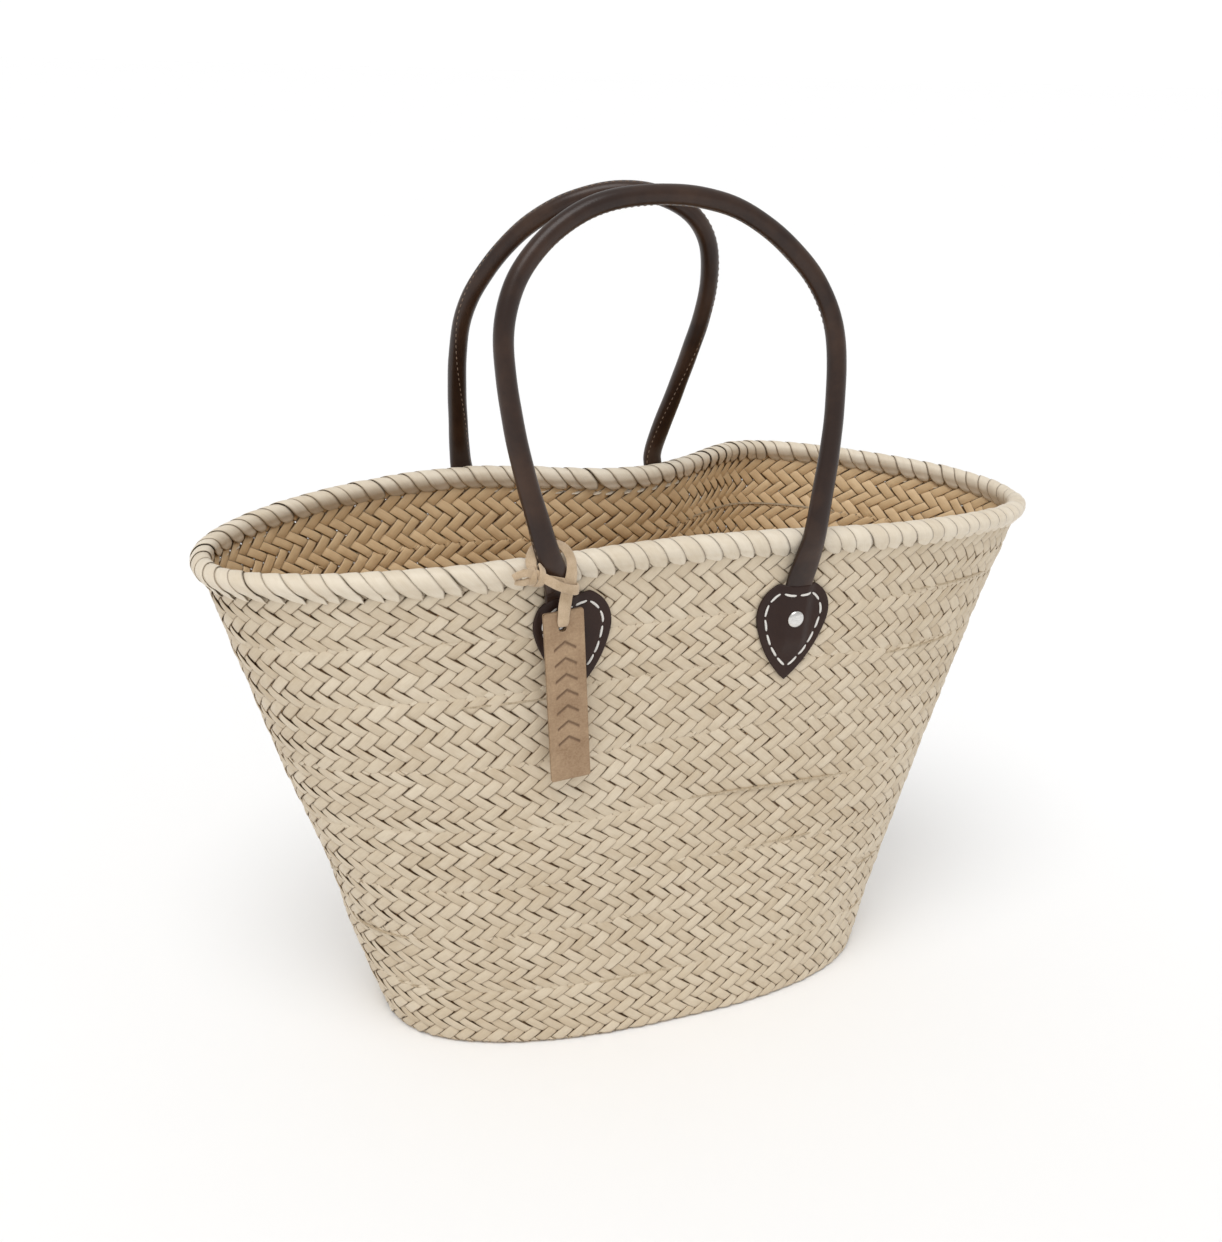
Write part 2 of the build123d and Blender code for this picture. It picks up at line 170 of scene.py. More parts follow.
def smoothRoute(controls, count):
    # Quadratic B-spline over rows of controls, clamped at both ends: two blends of neighbouring rows, and a
    # blend of those two, each by the share of its own stretch of knots that t has covered.
    controls = np.asarray(controls, float)
    spans = len(controls) - 2
    t = np.linspace(0, spans, count)
    k = np.minimum(t.astype(int), spans - 1)
    knots = np.concatenate([[0, 0], np.arange(spans + 1), [spans, spans]])
    a, b, c, d = knots[k + 1], knots[k + 2], knots[k + 3], knots[k + 4]
    left = (t - a) / np.maximum(c - a, 1e-9)
    right = (t - b) / np.maximum(d - b, 1e-9)
    mid = (t - b) / np.maximum(c - b, 1e-9)
    p0, p1, p2 = controls[k], controls[k + 1], controls[k + 2]
    q0 = p0 + (p1 - p0) * left[:, None]
    q1 = p1 + (p2 - p1) * right[:, None]
    return q0 + (q1 - q0) * mid[:, None]


def unit(v):
    # each vector divided by its own length
    return v / np.maximum(np.linalg.norm(v, axis=-1, keepdims=True), 1e-12)


def smoothStep(x, low, high):
    # three k squared less two k cubed, where k is the share of the way from low to high
    k = np.clip((x - low) / (high - low), 0, 1)
    return k * k * (3 - 2 * k)


def alongRoute(points):
    # distance along a route at each of its points: the steps' lengths, summed
    return np.concatenate([[0], np.cumsum(np.linalg.norm(np.diff(points, axis=0), axis=1))])


class newMaterial:
    # a node material and short ways to add to it
    def __init__(self, name):
        self.material = bpy.data.materials.new(name)
        self.material.use_nodes = True
        self.tree = self.material.node_tree
        self.shader = self.tree.nodes["Principled BSDF"]

    def node(self, kind, **inputs):
        n = self.tree.nodes.new(kind)
        for key, value in inputs.items():
            self.join(value, n.inputs[key])
        return n

    def join(self, value, socket):
        if isinstance(value, bpy.types.NodeSocket):
            self.tree.links.new(value, socket)
        else:
            socket.default_value = value

    def set(self, socket, value):
        if isinstance(value, tuple) and len(value) == 3:
            value = (*value, 1.0)
        self.join(value, self.shader.inputs[socket])

    def objectPoint(self):
        return self.node("ShaderNodeTexCoord").outputs["Object"]

    def value(self, name, output="Fac"):
        n = self.node("ShaderNodeAttribute")
        n.attribute_name = name
        return n.outputs[output]

    def stretch(self, vector, scale):
        return self.node("ShaderNodeMapping", Vector=vector, Scale=scale).outputs["Vector"]

    def noise(self, vector, scale, detail=3.0, rough=0.55):
        return self.node("ShaderNodeTexNoise", Vector=vector, Scale=scale, Detail=detail,
                         Roughness=rough).outputs["Fac"]

    def cells(self, vector, scale):
        n = self.node("ShaderNodeTexVoronoi", Vector=vector, Scale=scale)
        return n.outputs["Distance"]

    def math(self, kind, a, b=0.0):
        n = self.tree.nodes.new("ShaderNodeMath")
        n.operation = kind
        self.join(a, n.inputs[0])
        self.join(b, n.inputs[1])
        return n.outputs[0]

    def mix(self, fac, a, b, kind="MIX"):
        n = self.tree.nodes.new("ShaderNodeMix")
        n.data_type = "RGBA"
        n.blend_type = kind
        self.join(fac, n.inputs["Factor"])
        for value, socket in ((a, n.inputs[6]), (b, n.inputs[7])):
            self.join((*value, 1.0) if isinstance(value, tuple) else value, socket)
        return n.outputs[2]

    def ramp(self, fac, stops):
        n = self.node("ShaderNodeValToRGB", Fac=fac)
        ramp = n.color_ramp
        while len(ramp.elements) < len(stops):
            ramp.elements.new(0.5)
        for element, (place, colour) in zip(ramp.elements, stops):
            element.position = place
            element.color = (*colour, 1.0)
        return n.outputs["Color"]

    def bump(self, height, strength, distance):
        self.set("Normal", self.node("ShaderNodeBump", Height=height, Strength=strength,
                                     Distance=distance).outputs["Normal"])


# outlines are superellipses; a dent or bulge is (depth, centre, width)
basket = dict(rimHalfLength=0.260, rimHalfDepth=0.1015, rimPower=2.18,
              baseHalfLength=0.164, baseHalfDepth=0.0795, basePower=2.44,
              slant=0.321, hollow=0.004, frontDent=(0.0155, 0.0, 0.095),
              rearDent=(0.044, 0.012, 0.080), rearBulge=(0.0367, 0.142, 0.055),
              dentFade=0.040, middle=0.0018, wander=0.0014, floorGap=0.0016)
wanderPhase = rng.uniform(0, 2 * np.pi, (5, 2))


def superellipse(angle, halfX, halfY, power):
    # |x/a| and |y/b|, each to the power n, add up to 1; x and y go as cosine and sine to the power 2/n
    c, s = np.cos(angle), np.sin(angle)
    return (halfX * np.sign(c) * np.abs(c) ** (2 / power), halfY * np.sign(s) * np.abs(s) ** (2 / power))


def dent(x, shape):
    # a bell curve across the wall: the depth times e to minus the square of (x - centre) / width
    depth, centre, width = shape
    return depth * np.exp(-((x - centre) / width) ** 2)


def wallPoint(angle, s):
    # Straight lines from the base outline (s = 0) to the dented rim outline (s = 1), every one of the same
    # length, with a few slow sines added for a hand-made unevenness.
    b = basket
    bx, by = superellipse(angle, b["baseHalfLength"], b["baseHalfDepth"], b["basePower"])
    rx, ry = superellipse(angle, b["rimHalfLength"], b["rimHalfDepth"], b["rimPower"])
    fade = np.minimum(1.0, np.abs(ry) / b["dentFade"])
    rearShape = dent(rx, b["rearBulge"]) - dent(rx, b["rearDent"])
    ry = ry + fade * np.where(ry < 0, dent(rx, b["frontDent"]), rearShape)
    rise = np.sqrt(b["slant"] ** 2 - (rx - bx) ** 2 - (ry - by) ** 2)
    hollow = b["hollow"] * np.sin(np.pi * s) * np.maximum(bx, 0) / b["baseHalfLength"]
    x = bx + (rx - bx) * s - hollow
    y = by + (ry - by) * s
    wave = sum(np.sin((k + 2) * angle + around + 3.0 * s) * np.sin((k + 1.5) * 2.1 * s + upwards)
               for k, (around, upwards) in enumerate(wanderPhase))
    wave = wave * b["wander"] * np.sin(np.pi * np.clip(s, 0, 1)) ** 0.5
    away = unit(np.stack([x / 4.0, y], -1))
    return np.stack([x + away[..., 0] * wave, y + away[..., 1] * wave, rise * s], -1)


def wallFrame(angle, s):
    # a point of the wall, and unit vectors up it and out of it, from the differences of close neighbours
    step = 1e-3
    along = wallPoint(angle + step, s) - wallPoint(angle - step, s)
    up = unit(wallPoint(angle, s + step) - wallPoint(angle, s - step))
    out = unit(np.cross(along, up))
    return wallPoint(angle, s), up, out


def ringAngles(s):
    # one level's angle for a share of the way round, by a table of distances, and its perimeter
    angle = np.linspace(0, 2 * np.pi, 4001)
    distance = alongRoute(wallPoint(angle, np.full_like(angle, s)))
    return (lambda f: np.interp(np.mod(f, 1.0), distance / distance[-1], angle)), distance[-1]


def angleAt(side, x, slant):
    # the angle at which the wall has this x at a distance up its slant, by halving; side -1 is the front
    low = 0.0 if side > 0 else 2 * np.pi
    high = np.pi
    for _ in range(40):
        middle = (low + high) / 2
        if wallPoint(np.array(middle), np.array(slant / basket["slant"]))[0] > x:
            low = middle
        else:
            high = middle
    return (low + high) / 2


# cell is the repeat round the wall, bands the rows up it, run and strand a crossing's length and width
plait = dict(cell=0.0103, bands=38, run=0.0061, strand=0.0059, steps=(-0.14, 0.14, 0.38, 0.62),
             lift=0.00085, edge=0.00055, crown=0.00062, snap=2.4, early=0.03, spare=0.35, thinner=0.55,
             width=(0.94, 1.05), drift=0.025, weave=0.03, uneven=0.00020, tilt=0.00032, swell=0.0003,
             toneMix=(0.55, 0.45), swayFade=5, drawnIn=0.5,
             sway=[(0.16, 2, 0.0, 0.4), (0.10, 5, 1.3, -0.23)])  # size, turns, start and climb of each sine
turnBands = [5, 5, 4, 5, 5, 5, 4, 5]
# a ribbon's section in eight points, shares of its half width and thickness, and the faces of its ends
ribbonAcross = np.array([-1.0, -0.72, 0.0, 0.72, 1.0, 0.74, 0.0, -0.74])
ribbonSide = np.array([0.1, 1, 1, 1, 0.1, -1, -1, -1])
ribbonCap = np.array([(1, 2, 6, 7), (2, 3, 5, 6)])
ribbonEnd = np.array([(0, 1, 7), (3, 4, 5)])


def ribbonFaces(strands, rows):
    # the tube quads of one ribbon and its closed ends, repeated for every strand
    size = rows * 8
    first = np.arange(strands)[:, None, None] * size
    body = (tubeFaces(rows, 8)[None] + first).reshape(-1, 4)
    capLow = (ribbonCap[:, ::-1][None] + first).reshape(-1, 4)
    capHigh = (ribbonCap[None] + first + size - 8).reshape(-1, 4)
    endLow = (ribbonEnd[:, ::-1][None] + first).reshape(-1, 3)
    endHigh = (ribbonEnd[None] + first + size - 8).reshape(-1, 3)
    return np.concatenate([body, capLow, capHigh]), np.concatenate([endLow, endHigh])


def plaitFamily(surface, cells, low, high, leanUp, p):
    # One family of strands in a two over, two under twill. A strand climbs the cloth at a slant. Its height
    # above the cloth's middle is a squared-off cosine of its place, four crossings long, so that its floats
    # fall in level bands, and the other family runs at the other slant in the opposite phase.
    start, stop = 2 * (low - p["spare"]) - 0.5, 2 * (high + p["spare"]) - 0.5
    whole = np.arange(np.floor(start) - 1, np.ceil(stop) + 2)
    place = (whole[:, None] + np.array(p["steps"])).ravel()
    place = place[(place > start) & (place < stop)]
    place = np.concatenate([[start], place, [stop]])
    width = rng.uniform(*p["width"], cells)[:, None, None]
    drift = rng.uniform(-1, 1, cells)[:, None, None] * p["drift"]
    turn = rng.uniform(0, 2 * np.pi, (2, cells))[:, :, None, None]
    strand = np.arange(cells)[:, None, None]
    x = ribbonAcross[None, None, :]
    side = ribbonSide[None, None, :]
    t = place[None, :, None]
    width = width * (1 + p["weave"] * np.sin(1.1 * t + turn[0]))
    offset = 0.5 * width * x + drift + p["weave"] * np.sin(0.8 * t + turn[1])
    # t counts crossings from the strand's own foot, and a float covers two of them
    if leanUp:
        u = (2 * strand + 1 + offset + t) / 2
        v = (t - offset) / 2 + 0.25
        phase = t - 0.5
    else:
        u = (2 * strand + 1 + offset - t) / 2
        v = (t + offset) / 2 + 0.25
        phase = t + 1.5
    wave = np.cos(np.pi * phase / 2)
    wave = np.sign(wave) * np.clip(np.abs(wave) - p["early"], 0, 1)
    sunk = np.tanh(p["snap"] * wave) / np.tanh(p["snap"])
    height = sunk * p["lift"]
    floatOf = np.floor((phase[:, :, 0] + 1) / 2).astype(int)
    floatOf = floatOf - floatOf.min()
    chance = rng.uniform(-1, 1, (cells, floatOf.max() + 1))
    perFloat = np.take_along_axis(chance, np.broadcast_to(floatOf, (cells, len(place))), 1)[:, :, None]
    # strand tips lie flat in the seam, under the next turn's
    past = np.maximum(low - v, v - high) / p["spare"]
    tuck = smoothStep(past, 0.0, 0.9)
    thick = (p["edge"] + p["crown"] * (1 - x ** 2)) * (1 - p["thinner"] * tuck)
    height = height * (1 - tuck) + side * thick / 2 + perFloat * p["uneven"]
    height = height + x * np.sign(wave) * p["tilt"] * (0.6 + 0.8 * perFloat)
    u, v, height = np.broadcast_arrays(u, v, height)
    point, out = surface(u / cells, v)
    points = point + out * height[..., None]
    perStrand = rng.uniform(0, 1, cells)[:, None, None]
    tone = perStrand * p["toneMix"][0] + (perFloat * 0.5 + 0.5) * p["toneMix"][1]
    tone = np.broadcast_to(tone, u.shape)
    along = np.broadcast_to(t, u.shape) * p["run"]
    across = np.broadcast_to(offset, u.shape) * p["strand"]
    seed = np.broadcast_to(rng.uniform(0, 1, cells)[:, None, None], u.shape)
    fibre = np.stack([along, across, seed], -1)
    # how far a point lies under the other family, which the material paints darker as shade; the edge share
    # and the side set the painted gap lines and the painted warm inner tint
    buried = 0.5 - 0.5 * sunk * np.sign(side)
    look = np.stack(np.broadcast_arrays(np.abs(x), buried, side), -1)
    look = np.broadcast_to(look, (*u.shape, 3))
    return points, tone, fibre, look


def addLeafValues(piece, tone, fibre, look):
    # what the palm material reads: a point's tone, its place along and across its strand, and how it lies,
    # which sets the painted shade at edges, under other strands and on inner faces
    addValues(piece, "tone", tone.ravel())
    addValues(piece, "fibre", fibre.reshape(-1, 3))
    addValues(piece, "look", look.reshape(-1, 3))


def plaitPiece(name, surface, cells, low, high, p=plait):
    # both families in one mesh; the second runs the other way round, so its faces are turned
    families = [plaitFamily(surface, cells, low, high, leanUp, p) for leanUp in (True, False)]
    points, tone, fibre, look = (np.stack(values) for values in zip(*families))
    quads, tris = ribbonFaces(cells, points.shape[2])
    half = points[0].size // 3
    piece = meshPiece(name, points.reshape(-1, 3), np.concatenate([quads, quads[:, ::-1] + half]),
                      np.concatenate([tris, tris[:, ::-1] + half]))
    addLeafValues(piece, tone, fibre, look)
    return piece


def wallSurface(angleOf, low, high, b=basket, p=plait):
    # The cloth's middle surface: f goes round the basket and v counts bands up from the floor. Each turn
    # swells between its seams by half a sine, and the bands sway by two slow sines of f.
    def at(f, v):
        swell = p["swell"] * np.sin(np.pi * np.clip((v - low) / (high - low), 0, 1))
        wave = sum(size * np.sin(2 * np.pi * turns * f + phase + climb * v)
                   for size, turns, phase, climb in p["sway"])
        v = v + wave * np.clip((p["bands"] - v) / p["swayFade"], 0, 1)
        # the last half row is drawn in under the rim
        v = v - 0.5 * np.maximum(v - p["bands"] + p["drawnIn"], 0)
        s = v / p["bands"]
        point, _, out = wallFrame(angleOf(f), np.maximum(s, 0.0))
        point = point - out * (b["middle"] - swell)[..., None]
        under = np.maximum(-s, 0.0) * b["slant"]
        level = unit(out * np.array([1.0, 1.0, 0.0]))
        point = point - level * under[..., None]
        point[..., 2] = np.maximum(point[..., 2], b["floorGap"])
        return point, out
    return at


def baseSurface(angleOf, outer, inner, low, high):
    # level cloth, a straight blend from the outer outline to the inner one as v counts bands inwards
    def at(f, v):
        angle = angleOf(f)
        k = ((v - low) / (high - low))[..., None]
        point = outer(angle) * (1 - k) + inner(angle) * k
        point[..., 2] = base["level"]
        return point, np.broadcast_to(np.array([0.0, 0.0, 1.0]), point.shape)
    return at


def palmMaterial(name, dark, light, inside=(0.90, 0.80, 0.66), rough=0.5, line=0.75):
    # leaf fibres are noise stretched along each strand; edges and parts that dive under others go dark as
    # painted shade, and inner faces take a warm tint as painted shade
    m = newMaterial(name)
    tone = m.value("tone")
    fibre = m.value("fibre", "Vector")
    look = m.tree.nodes.new("ShaderNodeSeparateXYZ")
    m.join(m.value("look", "Vector"), look.inputs[0])
    streak = m.noise(m.stretch(fibre, (90.0, 2600.0, 40.0)), 1.0, 4.0, 0.62)
    blotch = m.noise(m.stretch(fibre, (160.0, 260.0, 23.0)), 1.0, 2.0)
    point = m.objectPoint()
    broad = m.noise(point, 11.0, 2.0)
    patchy = m.noise(point, 130.0, 2.0)
    shade = m.math("ADD", m.math("MULTIPLY", tone, 0.42), m.math("MULTIPLY", streak, 0.42))
    shade = m.math("ADD", shade, m.math("MULTIPLY", m.math("SUBTRACT", blotch, 0.5), 0.45))
    shade = m.math("ADD", shade, m.math("MULTIPLY", m.math("SUBTRACT", broad, 0.5), 0.45))
    middle = tuple((a + b) / 2 for a, b in zip(dark, light))
    colour = m.ramp(shade, [(0.05, dark), (0.5, middle), (0.95, light)])
    # painted shade: faces on a strand's inner side are multiplied by the warm inside tint, for the warm
    # bounce light within the basket
    inner = m.ramp(m.math("ADD", m.math("MULTIPLY", look.outputs[2], 0.5), 0.5),
                   [(0.2, inside), (0.5, (1.0, 1.0, 1.0))])
    colour = m.mix(1.0, colour, inner, "MULTIPLY")
    # painted shade: dark lines along each strand's edges, patchy by noise, where the gaps between strands
    # fall in shadow
    rim = m.ramp(look.outputs[0], [(0.84, (0.0,) * 3), (1.0, (1.0,) * 3)])
    # painted shade: parts of a strand that dive under the other family go dark
    sunk = m.ramp(look.outputs[1], [(0.40, (0.0,) * 3), (0.85, (1.0,) * 3)])
    paintedShade = m.math("MULTIPLY", rim, m.math("MULTIPLY", patchy, 2 * line))
    paintedShade = m.math("MAXIMUM", paintedShade, sunk)
    # the painted shade pulls the colour towards a dark brown
    m.set("Base Color", m.mix(paintedShade, colour, tuple(c * k for c, k in zip(dark, (0.36, 0.27, 0.20)))))
    m.set("Roughness", rough)
    m.set("Specular IOR Level", 0.35)
    m.bump(streak, 0.35, 0.0004)
    return m.material


# the inside tint is a painted warm shade for the strands' inner faces
palm = palmMaterial("palmLeaf", (0.52, 0.41, 0.275), (0.77, 0.675, 0.53), inside=(1.15, 1.0, 0.79))
# the rim's palm, paler, with fainter painted shade lines at the wrap edges
palmPale = palmMaterial("palmRim", (0.62, 0.515, 0.375), (0.86, 0.785, 0.66), inside=(0.97, 0.93, 0.87),
                        rough=0.44, line=0.45)


def addWall():
    # eight turns of the braid, each a ring of cloth from its own bottom band to its top one
    low = 0
    for i, bands in enumerate(turnBands):
        high = low + bands
        angleOf, perimeter = ringAngles((low + high) / 2 / plait["bands"])
        cells = int(round(perimeter / plait["cell"]))
        piece = plaitPiece(f"wallTurn{i + 1}", wallSurface(angleOf, low, high), cells, low, high)
        piece.data.materials.append(palm)
        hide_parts(f"wall_turn_{i + 1}")
        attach(piece, "basket")
        low = high
    print("wall woven")


base = dict(outerInset=0.0045, coreScale=(0.74, 0.46), spineScale=0.70, spineDepth=0.02, level=0.0017,
            turnBands=6, coreBands=5, turnRepeat=0.84, coreRepeat=0.52)


def addBase():
    # two pieces of cloth between three copies of the base outline: inset, shrunk, and shrunk to a narrow
    # spine
    angleOf, perimeter = ringAngles(0.0)
    coreX, coreY = base["coreScale"]

    def outer(angle):
        point, _, out = wallFrame(angle, np.zeros_like(angle))
        return point - unit(out * np.array([1.0, 1.0, 0.0])) * base["outerInset"]

    def core(angle):
        return wallPoint(angle, np.zeros_like(angle)) * np.array([coreX, coreY, 1.0])

    def spine(angle):
        shrink = np.array([coreX * base["spineScale"], base["spineDepth"], 1.0])
        return wallPoint(angle, np.zeros_like(angle)) * shrink

    turn = plaitPiece("baseTurn", baseSurface(angleOf, outer, core, 0, base["turnBands"]),
                      int(perimeter * base["turnRepeat"] / plait["cell"]), 0, base["turnBands"])
    middle = plaitPiece("baseMiddle", baseSurface(angleOf, core, spine, 0, base["coreBands"]),
                        int(perimeter * base["coreRepeat"] / plait["cell"]), 0, base["coreBands"])
    for piece, node in ((turn, "base_outer_turn"), (middle, "base_centre")):
        piece.data.materials.append(palm)
        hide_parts(node)
        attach(piece, "basket")
    print("base woven")


def ropeMaterial(name, dark, light):
    # long noise for its fibres, which also raises them
    m = newMaterial(name)
    point = m.objectPoint()
    strands = m.noise(m.stretch(point, (700.0, 700.0, 260.0)), 1.0, 4.0)
    m.set("Base Color", m.ramp(strands, [(0.3, dark), (0.7, light)]))
    m.set("Roughness", 0.8)
    m.bump(strands, 0.6, 0.0006)
    return m.material


rope = ropeMaterial("twistedRope", (0.36, 0.28, 0.18), (0.58, 0.47, 0.33))

rim = dict(pitch=0.0106, lean=0.62, width=1.20, edge=0.00030, crown=0.00060, shingle=0.00042, rows=40,
           # uneven: how much a wrap's width, lean, place and height vary; tone: its shades
           uneven=(0.07, 0.05, 0.06, 0.00012), tone=(0.25, 0.85),
           # a wrap's path in section (out, up), in millimetres from the wall's top edge, and its spread
           path=[(-1.6, -12.4), (0.2, -10.8), (1.2, -7.4), (3.8, -4.4), (4.3, 1.2), (-1.2, 4.7),
                 (-6.8, 2.2), (-7.0, -2.8), (-4.9, -5.8), (-4.3, -7.6), (-2.8, -9.0)],
           spread=[0.30, 0.55, 0.9, 1.0, 1.0, 1.0, 1.0, 1.0, 0.95, 0.7, 0.45],
           core=(-1.4, -1.6), coreHalf=(3.6, 3.6), coreSides=16, coreRows=600)


def addRim(r):
    # Flat palm strips wound slantwise over the roll: each is a ribbon along the section path, moved along
    # the rim by its lean times the distance gone, with one edge lifted over its neighbour's.
    angleOf, perimeter = ringAngles(1.0)
    wraps = int(round(perimeter / r["pitch"]))
    controls = np.column_stack([np.array(r["path"]) / 1000, r["spread"]])
    route = smoothRoute(controls, r["rows"])
    distance = alongRoute(route[:, :2])
    normal = unit(np.column_stack([-np.gradient(route[:, 1]), np.gradient(route[:, 0])]))
    x = ribbonAcross[None, None, :]
    side = ribbonSide[None, None, :]
    number = np.arange(wraps)[:, None, None]
    jitter = rng.normal(0, 1, (wraps, 4))[:, None, None, :]
    jitter = jitter * np.array(r["uneven"])
    wide = (r["width"] * route[None, :, 2, None] * (1 + jitter[..., 0])) * perimeter / wraps / 2
    shift = (distance - distance[-1] / 2)[None, :, None] * (r["lean"] + jitter[..., 1])
    place = (number + 0.5 + jitter[..., 2]) * perimeter / wraps - shift + x * wide
    lift = side * (r["edge"] + r["crown"] * (1 - x ** 2)) / 2 + x * r["shingle"] + jitter[..., 3]
    place, lift = np.broadcast_arrays(place, lift)
    point, up, out = wallFrame(angleOf(place / perimeter), np.ones_like(place))
    outBy = route[None, :, 0, None] - normal[None, :, 0, None] * lift
    upBy = route[None, :, 1, None] - normal[None, :, 1, None] * lift
    points = point + out * outBy[..., None] + up * upBy[..., None]
    quads, tris = ribbonFaces(wraps, r["rows"])
    piece = meshPiece("rimBinding", points.reshape(-1, 3), quads, tris)
    tone = rng.uniform(*r["tone"], wraps)[:, None, None]
    seed = rng.uniform(0, 1, wraps)[:, None, None]
    # the edge share here sets painted shade lines between the wraps; nothing counts as buried and every face
    # as outer
    values = (tone, distance[None, :, None], x * wide, seed, np.abs(x), np.zeros(1), np.ones(1))
    values = [np.broadcast_to(value, place.shape) for value in values]
    addLeafValues(piece, values[0], np.stack(values[1:4], -1), np.stack(values[4:], -1))
    piece.data.materials.append(palmPale)
    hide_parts("rim_binding")
    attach(piece, "basket")
    addRimCord(r, angleOf)
    print("rim bound")


def addRimCord(r, angleOf):
    # the cord inside the roll: an ellipse carried round the same edge
    f = np.linspace(0, 1, r["coreRows"] + 1)[:, None]
    theta = np.linspace(0, 2 * np.pi, r["coreSides"], endpoint=False)[None, :]
    f, theta = np.broadcast_arrays(f, theta)
    point, up, out = wallFrame(angleOf(f), np.ones_like(f))
    points = (point + out * ((r["core"][0] + r["coreHalf"][0] * np.cos(theta)) / 1000)[..., None]
              + up * ((r["core"][1] + r["coreHalf"][1] * np.sin(theta)) / 1000)[..., None])
    core = meshPiece("rimCord", points.reshape(-1, 3), tubeFaces(r["coreRows"] + 1, r["coreSides"]))
    core.data.materials.append(rope)
    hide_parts("rim_core")
    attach(core, "basket")


# the paler colour of rubbed places is partly wear and partly a painted highlight
leather = dict(handle=(0.024, 0.0105, 0.0062), handleWearAndHighlight=(0.095, 0.046, 0.024),
               patch=(0.027, 0.0115, 0.0080), grain=900.0)


def leatherMaterial(name, colour, wearAndHighlight, rough, grain, coat=0.0, wearAndHighlightAmount=0.5):
    # dark hide with paler places in broad noise, partly rubbed wear and partly a painted highlight, and a
    # pebbled grain from cells and fine noise
    m = newMaterial(name)
    point = m.objectPoint()
    broad = m.noise(point, 26.0, 4.0, 0.6)
    fine = m.noise(point, grain * 1.5, 3.0, 0.6)
    pebble = m.cells(point, grain)
    # paler patches by broad noise: partly wear, partly a painted highlight
    colourOut = m.mix(m.ramp(broad, [(0.42, (0, 0, 0)), (0.80, (wearAndHighlightAmount,) * 3)]), colour, wearAndHighlight)
    m.set("Base Color", m.mix(m.math("MULTIPLY", fine, 0.35), colourOut, tuple(c * 0.55 for c in colour)))
    m.set("Roughness", m.math("ADD", m.math("MULTIPLY", broad, 0.16), rough - 0.08))
    m.set("Specular IOR Level", 0.26)
    if coat:
        m.set("Coat Weight", coat)
        m.set("Coat Roughness", 0.28)
    m.bump(m.math("ADD", m.math("MULTIPLY", pebble, 0.6), m.math("MULTIPLY", fine, 0.4)), 0.22, 0.0003)
    return m.material


handleLeather = leatherMaterial("handleLeather", leather["handle"], leather["handleWearAndHighlight"], 0.36,
                                leather["grain"], coat=0.2, wearAndHighlightAmount=0.75)
patchLeather = leatherMaterial("patchLeather", leather["patch"], leather["handleWearAndHighlight"], 0.50,
                               leather["grain"] * 0.8, wearAndHighlightAmount=0.25)


def threadMaterial(name, colour):
    # one colour, darker between its twisted strands as painted shade
    m = newMaterial(name)
    point = m.objectPoint()
    twist = m.noise(m.stretch(point, (2600.0, 2600.0, 2600.0)), 1.0, 2.0)
    m.set("Base Color", m.ramp(twist, [(0.3, tuple(c * 0.8 for c in colour)), (0.7, colour)]))
    m.set("Roughness", 0.6)
    m.bump(twist, 0.4, 0.0002)
    return m.material


whiteThread = threadMaterial("whiteThread", (0.80, 0.77, 0.72))
seamThread = threadMaterial("seamThread", (0.27, 0.19, 0.135))

# side of the wall (-1 is the front), the patch's x, its top's place up the slant, and the x of the handle
# end at the patch and at the fold
corners = dict(front_left=(-1, -0.078, 0.3035, -0.085, -0.097),
               front_right=(-1, 0.059, 0.294, 0.0595, 0.064),
               rear_left=(1, -0.080, 0.300, -0.083, -0.088),
               rear_right=(1, 0.046, 0.297, 0.044, 0.038))
# lean and foot are angles in degrees and radians; front and rear are the arches' points from the left fold,
# along and up, in millimetres
handle = dict(radius=0.0054, foldHeight=0.334, foldOut=0.009, rimTop=0.320, drop=0.038, sides=30, rows=420,
              frontLean=12.0, rearLean=20.0, seamDepth=0.05, seamWidth=0.16, bend=0.016,
              ripple=(0.012, 0.008), squareness=0.35, frontFoot=(0.85, 0.30), rearFoot=(-0.35, -0.25),
              front=[(-14, 60), (-17, 126), (26, 169), (82, 176), (130, 164), (175, 118), (174, 58)],
              rear=[(-3, 69), (4, 111), (40, 160), (93, 179), (139, 160), (150, 115), (137, 48)])


def foldSpot(corner):
    # where a handle leg bends: straight out from the wall's top edge, at the fold's own height
    side, _, _, _, foldX = corners[corner]
    point, _, out = wallFrame(np.array(angleAt(side, foldX, basket["slant"])), np.array(1.0))
    spot = point + unit(out * np.array([1.0, 1.0, 0.0])) * handle["foldOut"]
    return np.array([spot[0], spot[1], handle["foldHeight"]])


def rootControls(corner):
    # Handle end from under its patch up to the fold. A station is its climb from the patch's top, its
    # distance out of the wall, and its half width and half thickness in millimetres.
    side, _, top, rootX, foldX = corners[corner]
    reach = basket["slant"] + handle["foldHeight"] - handle["rimTop"] - top
    stations = [(-handle["drop"], 0.0019, 6.4, 1.3), (-0.006, 0.0019, 8.0, 1.4), (0.004, 0.0034, 8.2, 2.2),
                (reach - 0.022, 0.0072, 7.6, 3.1), (reach - 0.014, 0.0090, 7.0, 3.9),
                (reach - 0.004, 0.0096, 6.4, 4.7)]
    rows = []
    for climb, outBy, halfWide, halfThick in stations:
        x = rootX + (foldX - rootX) * max(climb, 0.0) / reach
        s = (top + climb) / basket["slant"]
        point, _, out = wallFrame(np.array(angleAt(side, x, top + climb)), np.array(s))
        rows.append([*(point + out * outBy), *out, halfWide / 1000, halfThick / 1000])
    return rows


